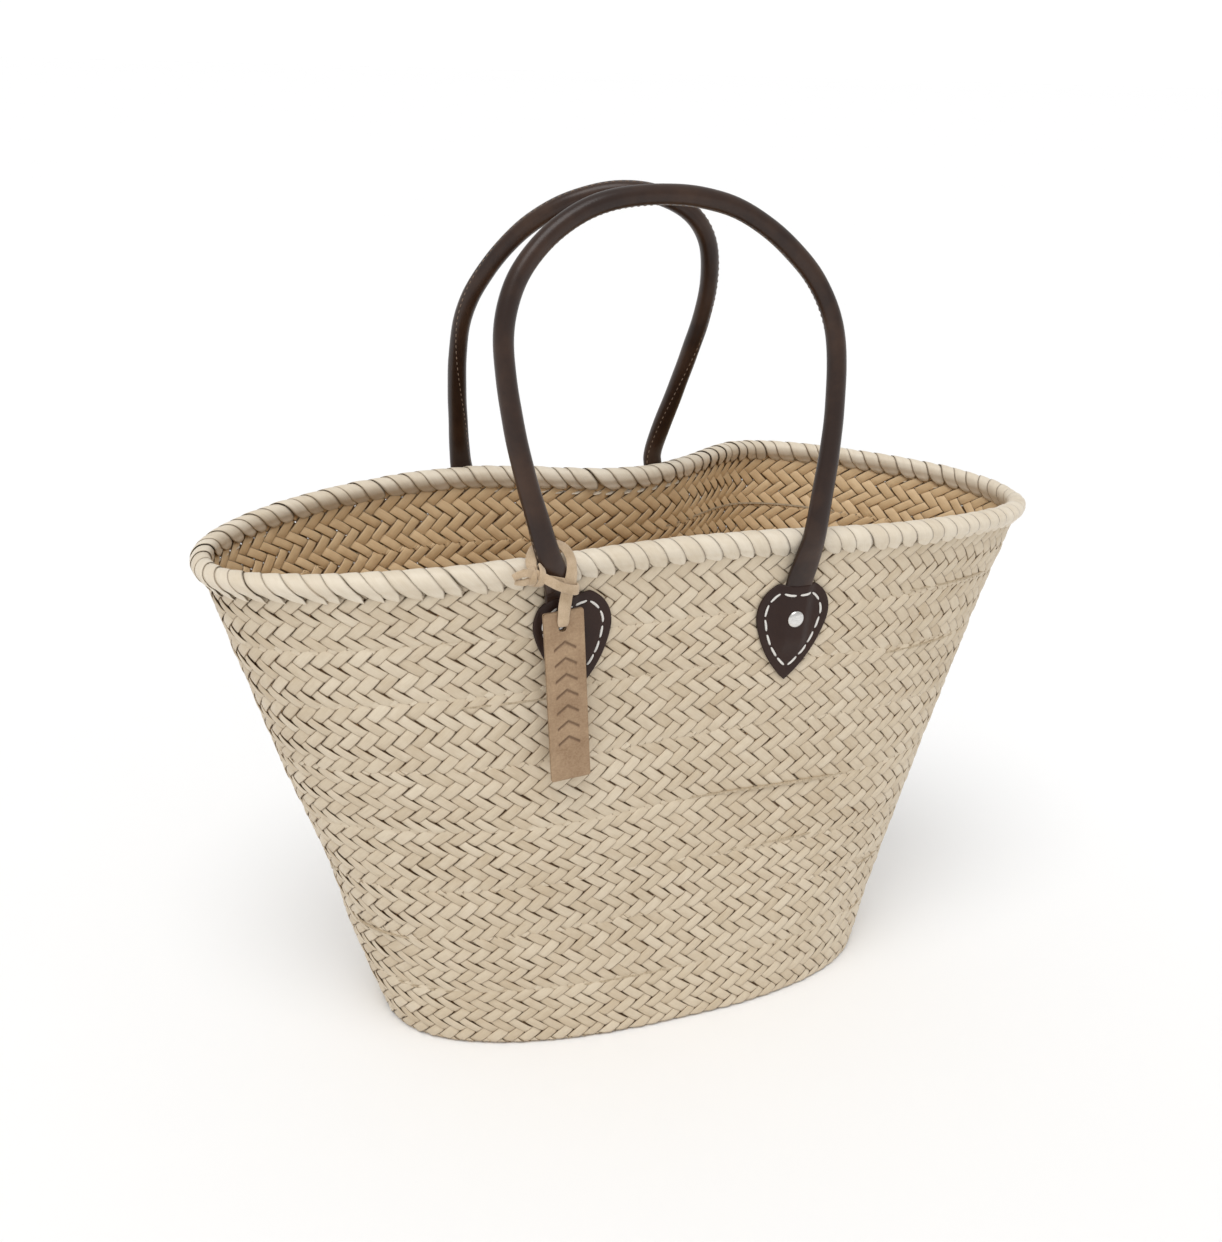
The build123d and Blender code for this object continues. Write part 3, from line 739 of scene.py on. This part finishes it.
def handleRoute(name):
    # left end, arch and right end as one smooth route, with the directions across it and out of the basket
    left, right = foldSpot(f"{name}_left"), foldSpot(f"{name}_right")
    inward = 1 if name == "front" else -1
    tilt = np.radians(handle["frontLean"] if name == "front" else handle["rearLean"])
    along = unit(right - left)
    up = np.array([0, inward * np.sin(tilt), np.cos(tilt)])
    up = unit(up - along * (up @ along))
    face = np.cross(along, up) * inward
    r = handle["radius"]
    arch = [[*(left + (along * p + up * q) / 1000), *face, r, r] for p, q in handle[name]]
    controls = rootControls(f"{name}_left") + arch + rootControls(f"{name}_right")[::-1]
    route = smoothRoute(controls, handle["rows"])
    tangent = unit(np.gradient(route[:, :3], axis=0))
    outward = unit(route[:, 3:6] - tangent * (route[:, 3:6] * tangent).sum(1, keepdims=True))
    across = np.cross(tangent, outward)
    return route, outward, across, left, right


def seamAngle(route, name):
    # Section angle of the seam: half a cosine wave of the climb takes it from a leg's outer side to the
    # arch's hollow side, and it is turned a little further at each foot.
    t = alongRoute(route[:, :3])
    t = t / t[-1]
    climb = np.clip((0.5 - np.abs(t - 0.5)) / 0.5, 0, 1)
    turn = np.pi / 2 * (1 - np.cos(np.pi * np.clip((climb - 0.10) / 0.72, 0, 1)))
    foot = np.where(t < 0.5, *handle[name + "Foot"])
    turn = turn - foot * (1 - smoothStep(climb, 0.05, 0.45))
    return turn - np.pi, t


def addHandle(name):
    # Leather rolled round a rope: a tube whose section is cosine and sine to a power that squares it up
    # where it is flat, times its half sizes, with a bell-curve valley where its edges meet.
    h = handle
    route, outward, across, left, right = handleRoute(name)
    seam, t = seamAngle(route, name)
    theta = np.linspace(0, 2 * np.pi, h["sides"], endpoint=False)[None, :]
    valley = np.angle(np.exp(1j * (theta - seam[:, None])))
    slow, quick = h["ripple"]
    swell = 1 + slow * np.sin(61 * t + 0.7)[:, None] + quick * np.sin(143 * t[:, None] + theta)
    r = swell * (1 - h["seamDepth"] * np.exp(-(valley / h["seamWidth"]) ** 2))
    c, s = np.cos(theta), np.sin(theta)
    flat = np.clip((route[:, 6] / route[:, 7] - 1.0) / 2.0, 0, 1)[:, None]
    power = 1.0 - h["squareness"] * flat
    c, s = np.sign(c) * np.abs(c) ** power, np.sign(s) * np.abs(s) ** power
    points = (route[:, None, :3] + across[:, None] * (r * c * route[:, 6:7])[..., None]
              + outward[:, None] * (r * s * route[:, 7:8])[..., None])
    points = np.concatenate([points.reshape(-1, 3), route[[0, -1], :3]])
    rows, n = h["rows"], h["sides"]
    piece = meshPiece(f"{name}Handle", points, tubeFaces(rows, n), poleFans(rows, n))
    piece.data.materials.append(handleLeather)
    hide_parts(f"{name}_handle_leather", f"{name}_left_handle_end", f"{name}_right_handle_end")
    blendAtFold(piece)
    thread = addSeam(name, route, across, outward, seam)
    blendAtFold(thread)
    dressNode(f"{name}_handle_core", rope)
    print(name, "handle rolled")


def dressNode(node, material):
    # a CAD piece that is shown as it is takes one of the materials made here
    nodes[node].data.materials.clear()
    nodes[node].data.materials.append(material)


def blendAtFold(piece):
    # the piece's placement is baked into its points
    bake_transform(piece)


seam = dict(pitch=0.0037, length=0.0026, radius=0.00028, rows=5, sides=6, proud=0.00012, skip=0.045)


def dashes(points, outward, width, flatness, rows, sides):
    # A row of stitches, with points for stitches x rows x 3. Each is an ellipse carried along its stretch,
    # times a taper that is the root of one less the cube of its place; width and flatness are the ellipse's
    # half sizes.
    count = len(points)
    u = np.linspace(-1, 1, rows)
    taper = np.sqrt(np.maximum(1 - np.abs(u) ** 3, 0.04))
    tangent = unit(np.gradient(points, axis=1))
    out = unit(outward - tangent * (outward * tangent).sum(-1, keepdims=True))
    across = np.cross(tangent, out)
    theta = np.linspace(0, 2 * np.pi, sides, endpoint=False)
    ring = (across[:, :, None] * (np.cos(theta) * width)[None, None, :, None]
            + out[:, :, None] * (np.sin(theta) * flatness)[None, None, :, None])
    ring = ring * taper[None, :, None, None]
    sink = out[:, :, None] * ((taper - 1) * flatness * 1.6)[None, :, None, None]
    mesh = points[:, :, None] + ring + sink
    first = np.arange(count)[:, None, None] * rows * sides
    quads = (tubeFaces(rows, sides)[None] + first).reshape(-1, 4)
    tris = np.concatenate([(fan[None] + first).reshape(-1, 3) for fan in endFans(rows, sides)])
    return mesh.reshape(-1, 3), quads, tris


def addSeam(name, route, across, outward, seamTurn):
    # stitches at even steps along the valley: the section's point at the seam's angle, a little proud of it
    s = seam
    distance = alongRoute(route[:, :3])
    share = 1 - handle["seamDepth"]
    spot = (route[:, :3] + across * (np.cos(seamTurn) * route[:, 6] * share)[:, None]
            + outward * (np.sin(seamTurn) * route[:, 7] * share)[:, None])
    away = unit(spot - route[:, :3])
    starts = np.arange(s["skip"], distance[-1] - s["skip"], s["pitch"])
    at = starts[:, None] + np.linspace(0, s["length"], s["rows"])
    points = np.stack([np.interp(at, distance, (spot + away * s["proud"])[:, k]) for k in range(3)], -1)
    out = np.stack([np.interp(at, distance, away[:, k]) for k in range(3)], -1)
    mesh, quads, tris = dashes(points, out, s["radius"], s["radius"], s["rows"], s["sides"])
    piece = meshPiece(f"{name}HandleStitches", mesh, quads, tris)
    piece.data.materials.append(seamThread)
    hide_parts(f"{name}_handle_seam")
    return piece


patch = dict(height=0.060, halfWidth=0.0225, widest=0.024, dip=0.0011, thick=0.0018, gap=0.0002, bulge=0.0030,
             ridge=0.0085, count=176, centre=(0.0, -0.027), inset=0.0056, groove=0.0004, grooveWidth=0.0013,
             stitches=14, dash=0.0080, uneven=0.0003, threadWide=0.00072, threadFlat=0.0005, threadRows=11,
             threadSides=8)


def arcThrough(a, m, b, count):
    # Points on the circle through three points, from the first to the last. The centre comes from the ratio
    # of their differences as complex numbers.
    a, m, b = (complex(*q) for q in (a, m, b))
    w = (m - a) / (b - a)
    if abs(w.imag) < 1e-9:
        line = np.linspace(a, b, count)
        return np.column_stack([line.real, line.imag])
    centre = (b - a) * (w - abs(w) ** 2) / (2j * w.imag) + a
    first, middle, last = (np.angle(q - centre) for q in (a, m, b))
    turn = np.angle(np.exp(1j * (middle - first))) + np.angle(np.exp(1j * (last - middle)))
    spread = first + np.linspace(0, turn, count)
    ring = centre + abs(a - centre) * np.exp(1j * spread)
    return np.column_stack([ring.real, ring.imag])


def patchOutline(inset, count, p=patch):
    # a drop made of arcs: from its tip up one side, across the dipped top and down the other, evenly spaced
    w, hgt = p["halfWidth"], p["height"]
    tip = (0.0, -hgt + 1.5 * inset)
    waist = (0.77 * w - 0.8 * inset, -0.64 * hgt + 0.35 * inset)
    wide = (w - inset, -p["widest"])
    shoulder = (0.86 * w - 0.72 * inset, -0.30 * p["widest"] - 0.70 * inset)
    corner = (0.46 * w - 0.30 * inset, -inset)
    dip = (0.0, -p["dip"] - inset)
    side = arcThrough(tip, waist, wide, 80)
    top = arcThrough(wide, shoulder, corner, 50)
    dipped = arcThrough(corner, dip, (-corner[0], corner[1]), 40)
    half = np.concatenate([side, top[1:]])
    loop = np.concatenate([half, dipped[1:-1], (half * np.array([-1.0, 1.0]))[::-1]])
    for _ in range(3):
        loop[1:-1] = (loop[:-2] + loop[1:-1] * 2 + loop[2:]) / 4
    distance = alongRoute(loop)
    at = np.linspace(0, distance[-1], count, endpoint=False)
    return np.column_stack([np.interp(at, distance, loop[:, k]) for k in range(2)])


def patchPlacer(corner):
    # takes a place on the flat patch (across, up from its top) and a height to the basket: across goes by
    # distance round the wall at the patch's top, up goes up the slant, and the height goes straight out
    side, patchX, top, rootX, _ = corners[corner]
    angle = np.linspace(0, 2 * np.pi, 8001)
    level = wallPoint(angle, np.full_like(angle, top / basket["slant"]))
    distance = alongRoute(level)
    home = np.interp(angleAt(side, patchX, top), angle, distance)
    rootShift = np.interp(angleAt(side, rootX, top), angle, distance) - home

    def place(u, v, height):
        a = np.interp(home + u, distance, angle)
        point, _, out = wallFrame(a, (top + v) / basket["slant"])
        return point + out * height[..., None], out
    return place, rootShift


def patchHeight(u, v, rootShift, p=patch):
    # the handle end under the patch lifts it in a long ridge that runs out at the end's lower tip
    across = 1 - smoothStep(np.abs(u - rootShift), p["ridge"] * 0.55, p["ridge"] * 1.45)
    down = smoothStep(v, -handle["drop"] - 0.008, -handle["drop"] + 0.006)
    return p["bulge"] * across * down


def addPatch(corner, place, rootShift, p=patch):
    # A leather drop: its outline shrunk towards its centre, ring by ring, over the top, round the edge and
    # back underneath, less a bell-curve groove under the stitches.
    outline = patchOutline(0.0, p["count"])
    centre = np.array(p["centre"])
    thick = p["thick"]
    # ring sizes, and their heights as a share of the thickness
    scale = np.concatenate([np.linspace(0.04, 0.955, 26), [0.978, 0.993, 1.0, 1.0, 0.993, 0.96],
                            np.linspace(0.85, 0.04, 7)])
    level = np.concatenate([np.full(26, 1.0), [0.965, 0.86, 0.66, 0.34, 0.10, 0.0], np.zeros(7)])
    flat = centre + (outline[None] - centre) * scale[:, None, None]
    u, v = flat[..., 0], flat[..., 1]
    lift = patchHeight(u, v, rootShift) + p["gap"]
    inner = patchOutline(p["inset"], p["count"])
    reach = np.linalg.norm(flat - centre, axis=-1) - np.linalg.norm(inner - centre, axis=-1)[None]
    groove = p["groove"] * np.exp(-(reach / p["grooveWidth"]) ** 2) * (level[:, None] > 0.9)
    points, _ = place(u, v, lift + level[:, None] * thick - groove)
    rows, n = scale.size, p["count"]
    poles, _ = place(np.zeros(2) + centre[0], np.zeros(2) + centre[1],
                     np.array([thick, 0.0]) + patchHeight(centre[0], centre[1], rootShift) + p["gap"])
    points = np.concatenate([points.reshape(-1, 3), poles])
    quads, tris = tubeFaces(rows, n)[:, ::-1], poleFans(rows, n)[:, ::-1]
    piece = meshPiece(f"{corner}_patchLeather", points, quads, tris)
    piece.data.materials.append(patchLeather)
    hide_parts(f"{corner}_patch")
    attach(piece, "basket")


def addPatchStitches(corner, place, rootShift, p=patch):
    # running stitch in the groove, at even steps of a smaller copy of the outline, each shifted by chance
    fine = patchOutline(p["inset"], 1400)
    loop = np.concatenate([fine, fine[:1]])
    distance = alongRoute(loop)
    pitch = distance[-1] / p["stitches"]
    starts = (np.arange(p["stitches"]) + 0.5) * pitch - p["dash"] / 2
    chance = rng.normal(0, p["uneven"], (p["stitches"], 1))
    at = np.mod(starts[:, None] + np.linspace(0, p["dash"], p["threadRows"]) + chance, distance[-1])
    u, v = (np.interp(at, distance, loop[:, k]) for k in range(2))
    height = patchHeight(u, v, rootShift) + p["thick"] + p["gap"] - p["groove"] + p["threadFlat"] * 0.55
    spots, out = place(u, v, height)
    mesh, quads, tris = dashes(spots, out, p["threadWide"], p["threadFlat"],
                               p["threadRows"], p["threadSides"])
    thread = meshPiece(f"{corner}_stitches", mesh, quads, tris)
    thread.data.materials.append(whiteThread)
    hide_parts(f"{corner}_patch_stitches")
    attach(thread, "basket")


rivet = dict(radius=0.0050, height=0.0019, drop=0.021, sides=48)


def rivetPoints(place, rootShift, r=rivet):
    # a turned profile of (radius, height): a low dome, its rolled edge sunk into the leather, and its shank
    profile = np.array([(0.0, 1.0), (0.22, 0.98), (0.42, 0.93), (0.60, 0.84), (0.76, 0.70), (0.88, 0.52),
                        (0.96, 0.34), (1.0, 0.16), (1.0, 0.02), (0.94, -0.10), (0.86, -0.14), (0.30, -0.16),
                        (0.30, -1.6)])
    rho, rise = profile[:, 0] * r["radius"], profile[:, 1] * r["height"]
    theta = np.linspace(0, 2 * np.pi, r["sides"], endpoint=False)
    u = rootShift + rho[:, None] * np.cos(theta)
    v = -r["drop"] + rho[:, None] * np.sin(theta)
    seat = patchHeight(rootShift, -r["drop"], rootShift) + patch["thick"] - 0.0001
    points, _ = place(u, v, seat + np.broadcast_to(rise[:, None], u.shape))
    return points


def metalMaterial():
    # bright plating, with fine brushed noise in its colour, its roughness and its surface
    m = newMaterial("nickel")
    brushed = m.noise(m.stretch(m.objectPoint(), (500.0, 500.0, 2200.0)), 1.0, 3.0)
    m.set("Base Color", m.ramp(brushed, [(0.3, (0.62, 0.61, 0.59)), (0.7, (0.80, 0.79, 0.77))]))
    m.set("Metallic", 1.0)
    m.set("Roughness", m.math("ADD", m.math("MULTIPLY", brushed, 0.12), 0.22))
    m.bump(brushed, 0.1, 0.0001)
    return m.material


nickel = metalMaterial()


def addPatches():
    # each corner's patch and stitches, then all four rivets in one mesh
    rings = []
    for corner in corners:
        place, rootShift = patchPlacer(corner)
        addPatch(corner, place, rootShift)
        addPatchStitches(corner, place, rootShift)
        rings.append(rivetPoints(place, rootShift))
    rows, n = rings[0].shape[:2]
    points = np.concatenate([r.reshape(-1, 3) for r in rings])
    quads = np.concatenate([tubeFaces(rows, n, first=i * rows * n)[:, ::-1] for i in range(len(rings))])
    shankEnd = endFans(rows, n)[1]
    tris = np.concatenate([shankEnd[:, ::-1] + i * rows * n for i in range(len(rings))])
    piece = meshPiece("rivetHeads", points, quads, tris)
    piece.data.materials.append(nickel)
    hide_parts("rivets")
    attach(piece, "basket")
    dressNode("rivet_backs", nickel)
    print("patches stitched and riveted")


# top is the middle of the tag's top edge, and hole the x and z of its hole
tag = dict(width=0.023, length=0.1012, thick=0.0020, corner=0.0016, tilt=4.1, top=(-0.0857, -0.098, 0.2960),
           hole=(-0.086, 0.287), holeRadius=0.0021, holeSpread=3.0, columns=47, rows=199, edgeRound=0.0005,
           edgeBand=0.0009, chevrons=7, chevronFrom=0.020, chevronPitch=0.0095, chevronWide=0.0062,
           chevronHigh=0.0042, chevronLine=0.00075, chevronDeep=0.00075, curl=0.0006)


def tagPlace(u, v, lift, t=tag):
    # flat tag places (across, down from its top) turned by its tilt and bowed by a cosine of the way down
    a = np.radians(t["tilt"])
    x = t["top"][0] + u * np.cos(a) + v * np.sin(a)
    z = t["top"][2] + u * np.sin(a) - v * np.cos(a)
    bow = t["curl"] * np.cos(np.pi * v / t["length"])
    return np.stack([x, t["top"][1] - lift - bow, z], -1)


def stampDepth(u, v, t=tag):
    # a column of pressed chevrons: a steep bell curve of the distance to the two arms of the nearest one
    k = np.clip(np.round((v - t["chevronFrom"]) / t["chevronPitch"]), 0, t["chevrons"] - 1)
    local = v - t["chevronFrom"] - k * t["chevronPitch"]
    arm = np.abs(u) / t["chevronWide"] * t["chevronHigh"]
    gap = np.abs(local - arm + t["chevronHigh"] / 2) * 0.85
    inside = np.abs(u) < t["chevronWide"]
    return t["chevronDeep"] * np.exp(-(gap / t["chevronLine"]) ** 4) * inside


def addTag(t=tag):
    # A slab of two grids, front and back, joined round the outline and round the hole. The grid's corners
    # are pulled in to a radius, and it gives way round the hole, whose edge is the eight points next to its
    # centre.
    a = np.radians(t["tilt"])
    dx, dz = t["hole"][0] - t["top"][0], t["hole"][1] - t["top"][2]
    holeU, holeV = dx * np.cos(a) + dz * np.sin(a), dx * np.sin(a) - dz * np.cos(a)
    columns, rows = t["columns"], t["rows"]
    u = np.linspace(-1, 1, columns)[None, :] * t["width"] / 2
    v = np.linspace(0, 1, rows)[:, None] * t["length"]
    u, v = np.broadcast_arrays(u, v)
    cu = np.clip((np.abs(u) - (t["width"] / 2 - t["corner"])) / t["corner"], 0, 1)
    cv = np.clip((np.maximum(-v, v - t["length"]) + t["corner"]) / t["corner"], 0, 1)
    pull = np.maximum(np.maximum(cu, cv), 1e-9) / np.maximum(np.hypot(cu, cv), 1e-9)
    u = u - np.sign(u) * cu * (1 - pull) * t["corner"]
    v = v - np.sign(v - t["length"] / 2) * cv * (1 - pull) * t["corner"]
    du, dv = u - holeU, v - holeV
    reach = np.hypot(du, dv)
    pushed = t["holeRadius"] + reach * (1 - 1 / t["holeSpread"])
    push = np.where(reach < t["holeSpread"] * t["holeRadius"], pushed, reach)
    u = holeU + du * push / np.maximum(reach, 1e-9)
    v = holeV + dv * push / np.maximum(reach, 1e-9)
    side = np.minimum(t["width"] / 2 - np.abs(u), np.minimum(v, t["length"] - v))
    rounding = t["edgeRound"] * (1 - np.clip(side / t["edgeBand"], 0, 1)) ** 2
    front = tagPlace(u, v, t["thick"] / 2 - rounding - stampDepth(u, v))
    back = tagPlace(u, v, -t["thick"] / 2 + rounding)
    points = np.concatenate([front.reshape(-1, 3), back.reshape(-1, 3)])
    n = rows * columns
    corner = (np.arange(rows - 1)[:, None] * columns + np.arange(columns - 1)).reshape(-1, 1)
    cell = corner + np.array([0, 1, columns + 1, columns])
    centre = int(np.argmin(reach))
    keep = ~(cell == centre).any(1)
    nearby = [-columns - 1, -columns, -columns + 1, 1, columns + 1, columns, columns - 1, -1]
    holeEdge = centre + np.array(nearby)
    grid = np.arange(n).reshape(rows, columns)
    ring = np.concatenate([grid[0], grid[1:, -1], grid[-1, -2::-1], grid[-2:0:-1, 0]])
    after = np.roll(ring, -1)
    edge = np.stack([ring, ring + n, after + n, after], 1)
    afterHole = np.roll(holeEdge, -1)
    hollow = np.stack([holeEdge, afterHole, afterHole + n, holeEdge + n], 1)
    quads = np.concatenate([cell[keep][:, ::-1], cell[keep] + n, edge, hollow])
    piece = meshPiece("tagLeather", points, quads)
    pressed = stampDepth(u, v).ravel() / t["chevronDeep"]
    addValues(piece, "pressed", np.concatenate([pressed, np.zeros(n)]))
    piece.data.materials.append(tagLeather)
    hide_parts("hang_tag")
    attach(piece, "hang_tag")
    print("tag pressed")


def tagMaterial():
    # natural hide in two scales of noise, darker where it is pressed
    m = newMaterial("tagLeather")
    point = m.objectPoint()
    broad = m.noise(point, 60.0, 4.0, 0.6)
    fine = m.noise(point, 900.0, 3.0)
    colour = m.ramp(m.math("ADD", m.math("MULTIPLY", broad, 0.6), m.math("MULTIPLY", fine, 0.4)),
                    [(0.36, (0.27, 0.165, 0.088)), (0.66, (0.42, 0.285, 0.170))])
    m.set("Base Color", m.mix(m.math("MULTIPLY", m.value("pressed"), 0.75), colour, (0.12, 0.062, 0.030)))
    m.set("Roughness", 0.62)
    m.bump(fine, 0.25, 0.0003)
    return m.material


def suedeMaterial():
    # a soft nap of fine noise with a little sheen
    m = newMaterial("laceSuede")
    point = m.objectPoint()
    nap = m.noise(point, 1400.0, 4.0, 0.7)
    broad = m.noise(point, 120.0, 3.0)
    m.set("Base Color", m.ramp(m.math("ADD", m.math("MULTIPLY", broad, 0.6), m.math("MULTIPLY", nap, 0.4)),
                               [(0.34, (0.40, 0.28, 0.165)), (0.68, (0.60, 0.455, 0.305))]))
    m.set("Roughness", 0.9)
    m.set("Sheen Weight", 0.3)
    m.bump(nap, 0.5, 0.0004)
    return m.material


tagLeather = tagMaterial()
laceSuede = suedeMaterial()
lace = dict(width=0.0070, thick=0.0014, rows=90, ripple=0.04,
            bendLow=(-0.086, -0.101, 0.298), bendHigh=(-0.086, -0.101, 0.3075),
            # each row: place and facing of the flat side, in millimetres, and the share of the width
            drop=[(-86.0, -97.2, 288.2, 0, -0.3, -1, 0.45), (-86.0, -99.3, 287.6, 0, -0.6, -1, 0.60),
                  (-86.2, -100.9, 288.4, 0, -1, -0.5, 0.85), (-86.2, -101.2, 294.0, 0, -1, 0, 1.0),
                  (-85.8, -102.4, 302.5, 0, -1, 0, 1.0), (-85.0, -103.2, 309.5, 0, -1, 0, 1.0)],
            loop=[(-85.4, -101.8, 303.0, 0, -1, 0, 0.95), (-84.2, -102.2, 310.0, 0, -1, 0, 1.0),
                  (-82.2, -102.2, 317.5, 0.2, -1, 0.1, 1.0), (-81.6, -98.5, 325.5, 0.5, -1, 0.4, 1.0),
                  (-85.0, -93.2, 331.0, 0.2, -0.4, 1, 0.95), (-92.5, -91.2, 333.5, 0, 0.3, 1, 0.9),
                  (-99.8, -92.6, 331.0, -0.5, -0.4, 1, 0.85), (-103.8, -97.6, 326.0, -0.6, -1, 0.4, 0.85),
                  (-104.2, -101.8, 321.5, -0.3, -1, 0.2, 0.75), (-102.0, -102.8, 318.0, 0, -1, 0, 0.6)],
            cross=[(-103.5, -103.6, 320.6, 0, -1, 0.2, 0.6), (-99.5, -106.2, 318.6, 0, -1, 0.1, 0.7),
                   (-92.0, -107.8, 313.6, 0, -1, 0.1, 0.72), (-84.5, -106.0, 310.2, 0.1, -1, 0.1, 0.75),
                   (-79.2, -103.8, 308.6, 0.9, -1, 0, 0.75), (-78.6, -101.2, 309.2, 1, 0.3, 0, 0.7),
                   (-82.0, -99.6, 311.0, 0.1, 1, 0, 0.7), (-92.0, -104.2, 315.4, 0, 1, 0, 0.65),
                   (-101.0, -103.6, 318.0, 0, 1, 0, 0.6)],
            wrapA=[(-99.6, -101.6, 324.0, 1, -1, 0.6, 0.55), (-99.2, -105.2, 322.0, 0.6, -1, 0.4, 0.6),
                   (-100.2, -106.8, 317.5, 0.2, -1, 0, 0.62), (-101.4, -104.8, 313.2, 0, -1, -0.7, 0.6),
                   (-103.0, -100.6, 313.2, 0, 0.4, -1, 0.55), (-103.0, -99.2, 318.0, 0, 1, 0, 0.55),
                   (-101.0, -100.4, 323.4, 0, 0.6, 1, 0.55)],
            wrapB=[(-104.6, -100.8, 322.8, -0.4, -1, 0.5, 0.5),
                   (-104.8, -105.0, 321.4, -0.4, -1, 0.4, 0.55),
                   (-104.6, -106.0, 317.6, -0.2, -1, 0, 0.58), (-104.8, -104.2, 314.0, 0, -1, -0.6, 0.55),
                   (-104.4, -101.0, 313.6, 0, 0.3, -1, 0.5)],
            tailA=[(-102.0, -103.4, 318.6, 0, -1, 0.1, 0.6), (-106.4, -105.6, 321.4, 0, -1, 0.3, 0.62),
                   (-110.6, -106.0, 322.2, -0.1, -1, 0.3, 0.6), (-115.2, -104.2, 319.4, -0.2, -1, 0.2, 0.5)],
            tailB=[(-102.0, -103.0, 317.4, 0, -1, -0.1, 0.6), (-106.8, -105.0, 317.2, 0, -1, -0.2, 0.6),
                   (-110.4, -104.6, 315.8, -0.1, -1, -0.2, 0.58),
                   (-114.0, -103.2, 316.6, -0.1, -1, -0.1, 0.42)])


def strips(name, keys):
    # Flat lace: a section of cosine and sine to low powers, wide and thin, carried along each route with
    # its flat side turned to its facing, and its width rippled by a sine.
    theta = np.linspace(0, 2 * np.pi, 16, endpoint=False)
    c, s = np.cos(theta), np.sin(theta)
    sectionX = np.sign(c) * np.abs(c) ** 0.55
    sectionY = np.sign(s) * np.abs(s) ** 0.8
    parts, quads, tris = [], [], []
    rows, n = lace["rows"], theta.size
    for i, key in enumerate(keys):
        route = smoothRoute(lace[key], rows)
        middle = route[:, :3] / 1000
        tangent = unit(np.gradient(middle, axis=0))
        face = unit(route[:, 3:6] - tangent * (route[:, 3:6] * tangent).sum(1, keepdims=True))
        across = np.cross(tangent, face)
        half = (route[:, 6] * lace["width"] / 2)[:, None, None]
        ripple = 1 + lace["ripple"] * np.sin(np.linspace(0, 17 + 5 * i, rows))[:, None, None]
        parts.append((middle[:, None] + across[:, None] * half * ripple * sectionX[None, :, None]
                      + face[:, None] * (lace["thick"] / 2) * sectionY[None, :, None]).reshape(-1, 3))
        first = i * rows * n
        quads.append(tubeFaces(rows, n, first))
        tris.append(np.concatenate(endFans(rows, n)) + first)
    piece = meshPiece(name, np.concatenate(parts), np.concatenate(quads), np.concatenate(tris))
    piece.data.materials.append(laceSuede)
    return piece


def addLace():
    # the drop's placement is baked into its points; the loop and the knot stay with the basket
    drop = strips("laceDrop", ["drop"])
    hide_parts("tag_lace_drop")
    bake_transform(drop)
    loop = strips("laceLoop", ["loop"])
    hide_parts("tag_lace_loop")
    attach(loop, "basket")
    knot = strips("laceKnot", ["cross", "wrapA", "wrapB", "tailA", "tailB"])
    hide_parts("tag_lace_knot")
    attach(knot, "basket")
    print("tag tied on")


addCamera(view)
addStudio(studio)
addWall()
addBase()
addRim(rim)
addHandle("front")
addHandle("rear")
addPatches()
addTag()
addLace()
dressNode("lacing_cord", rope)
print("hidden cords dressed")
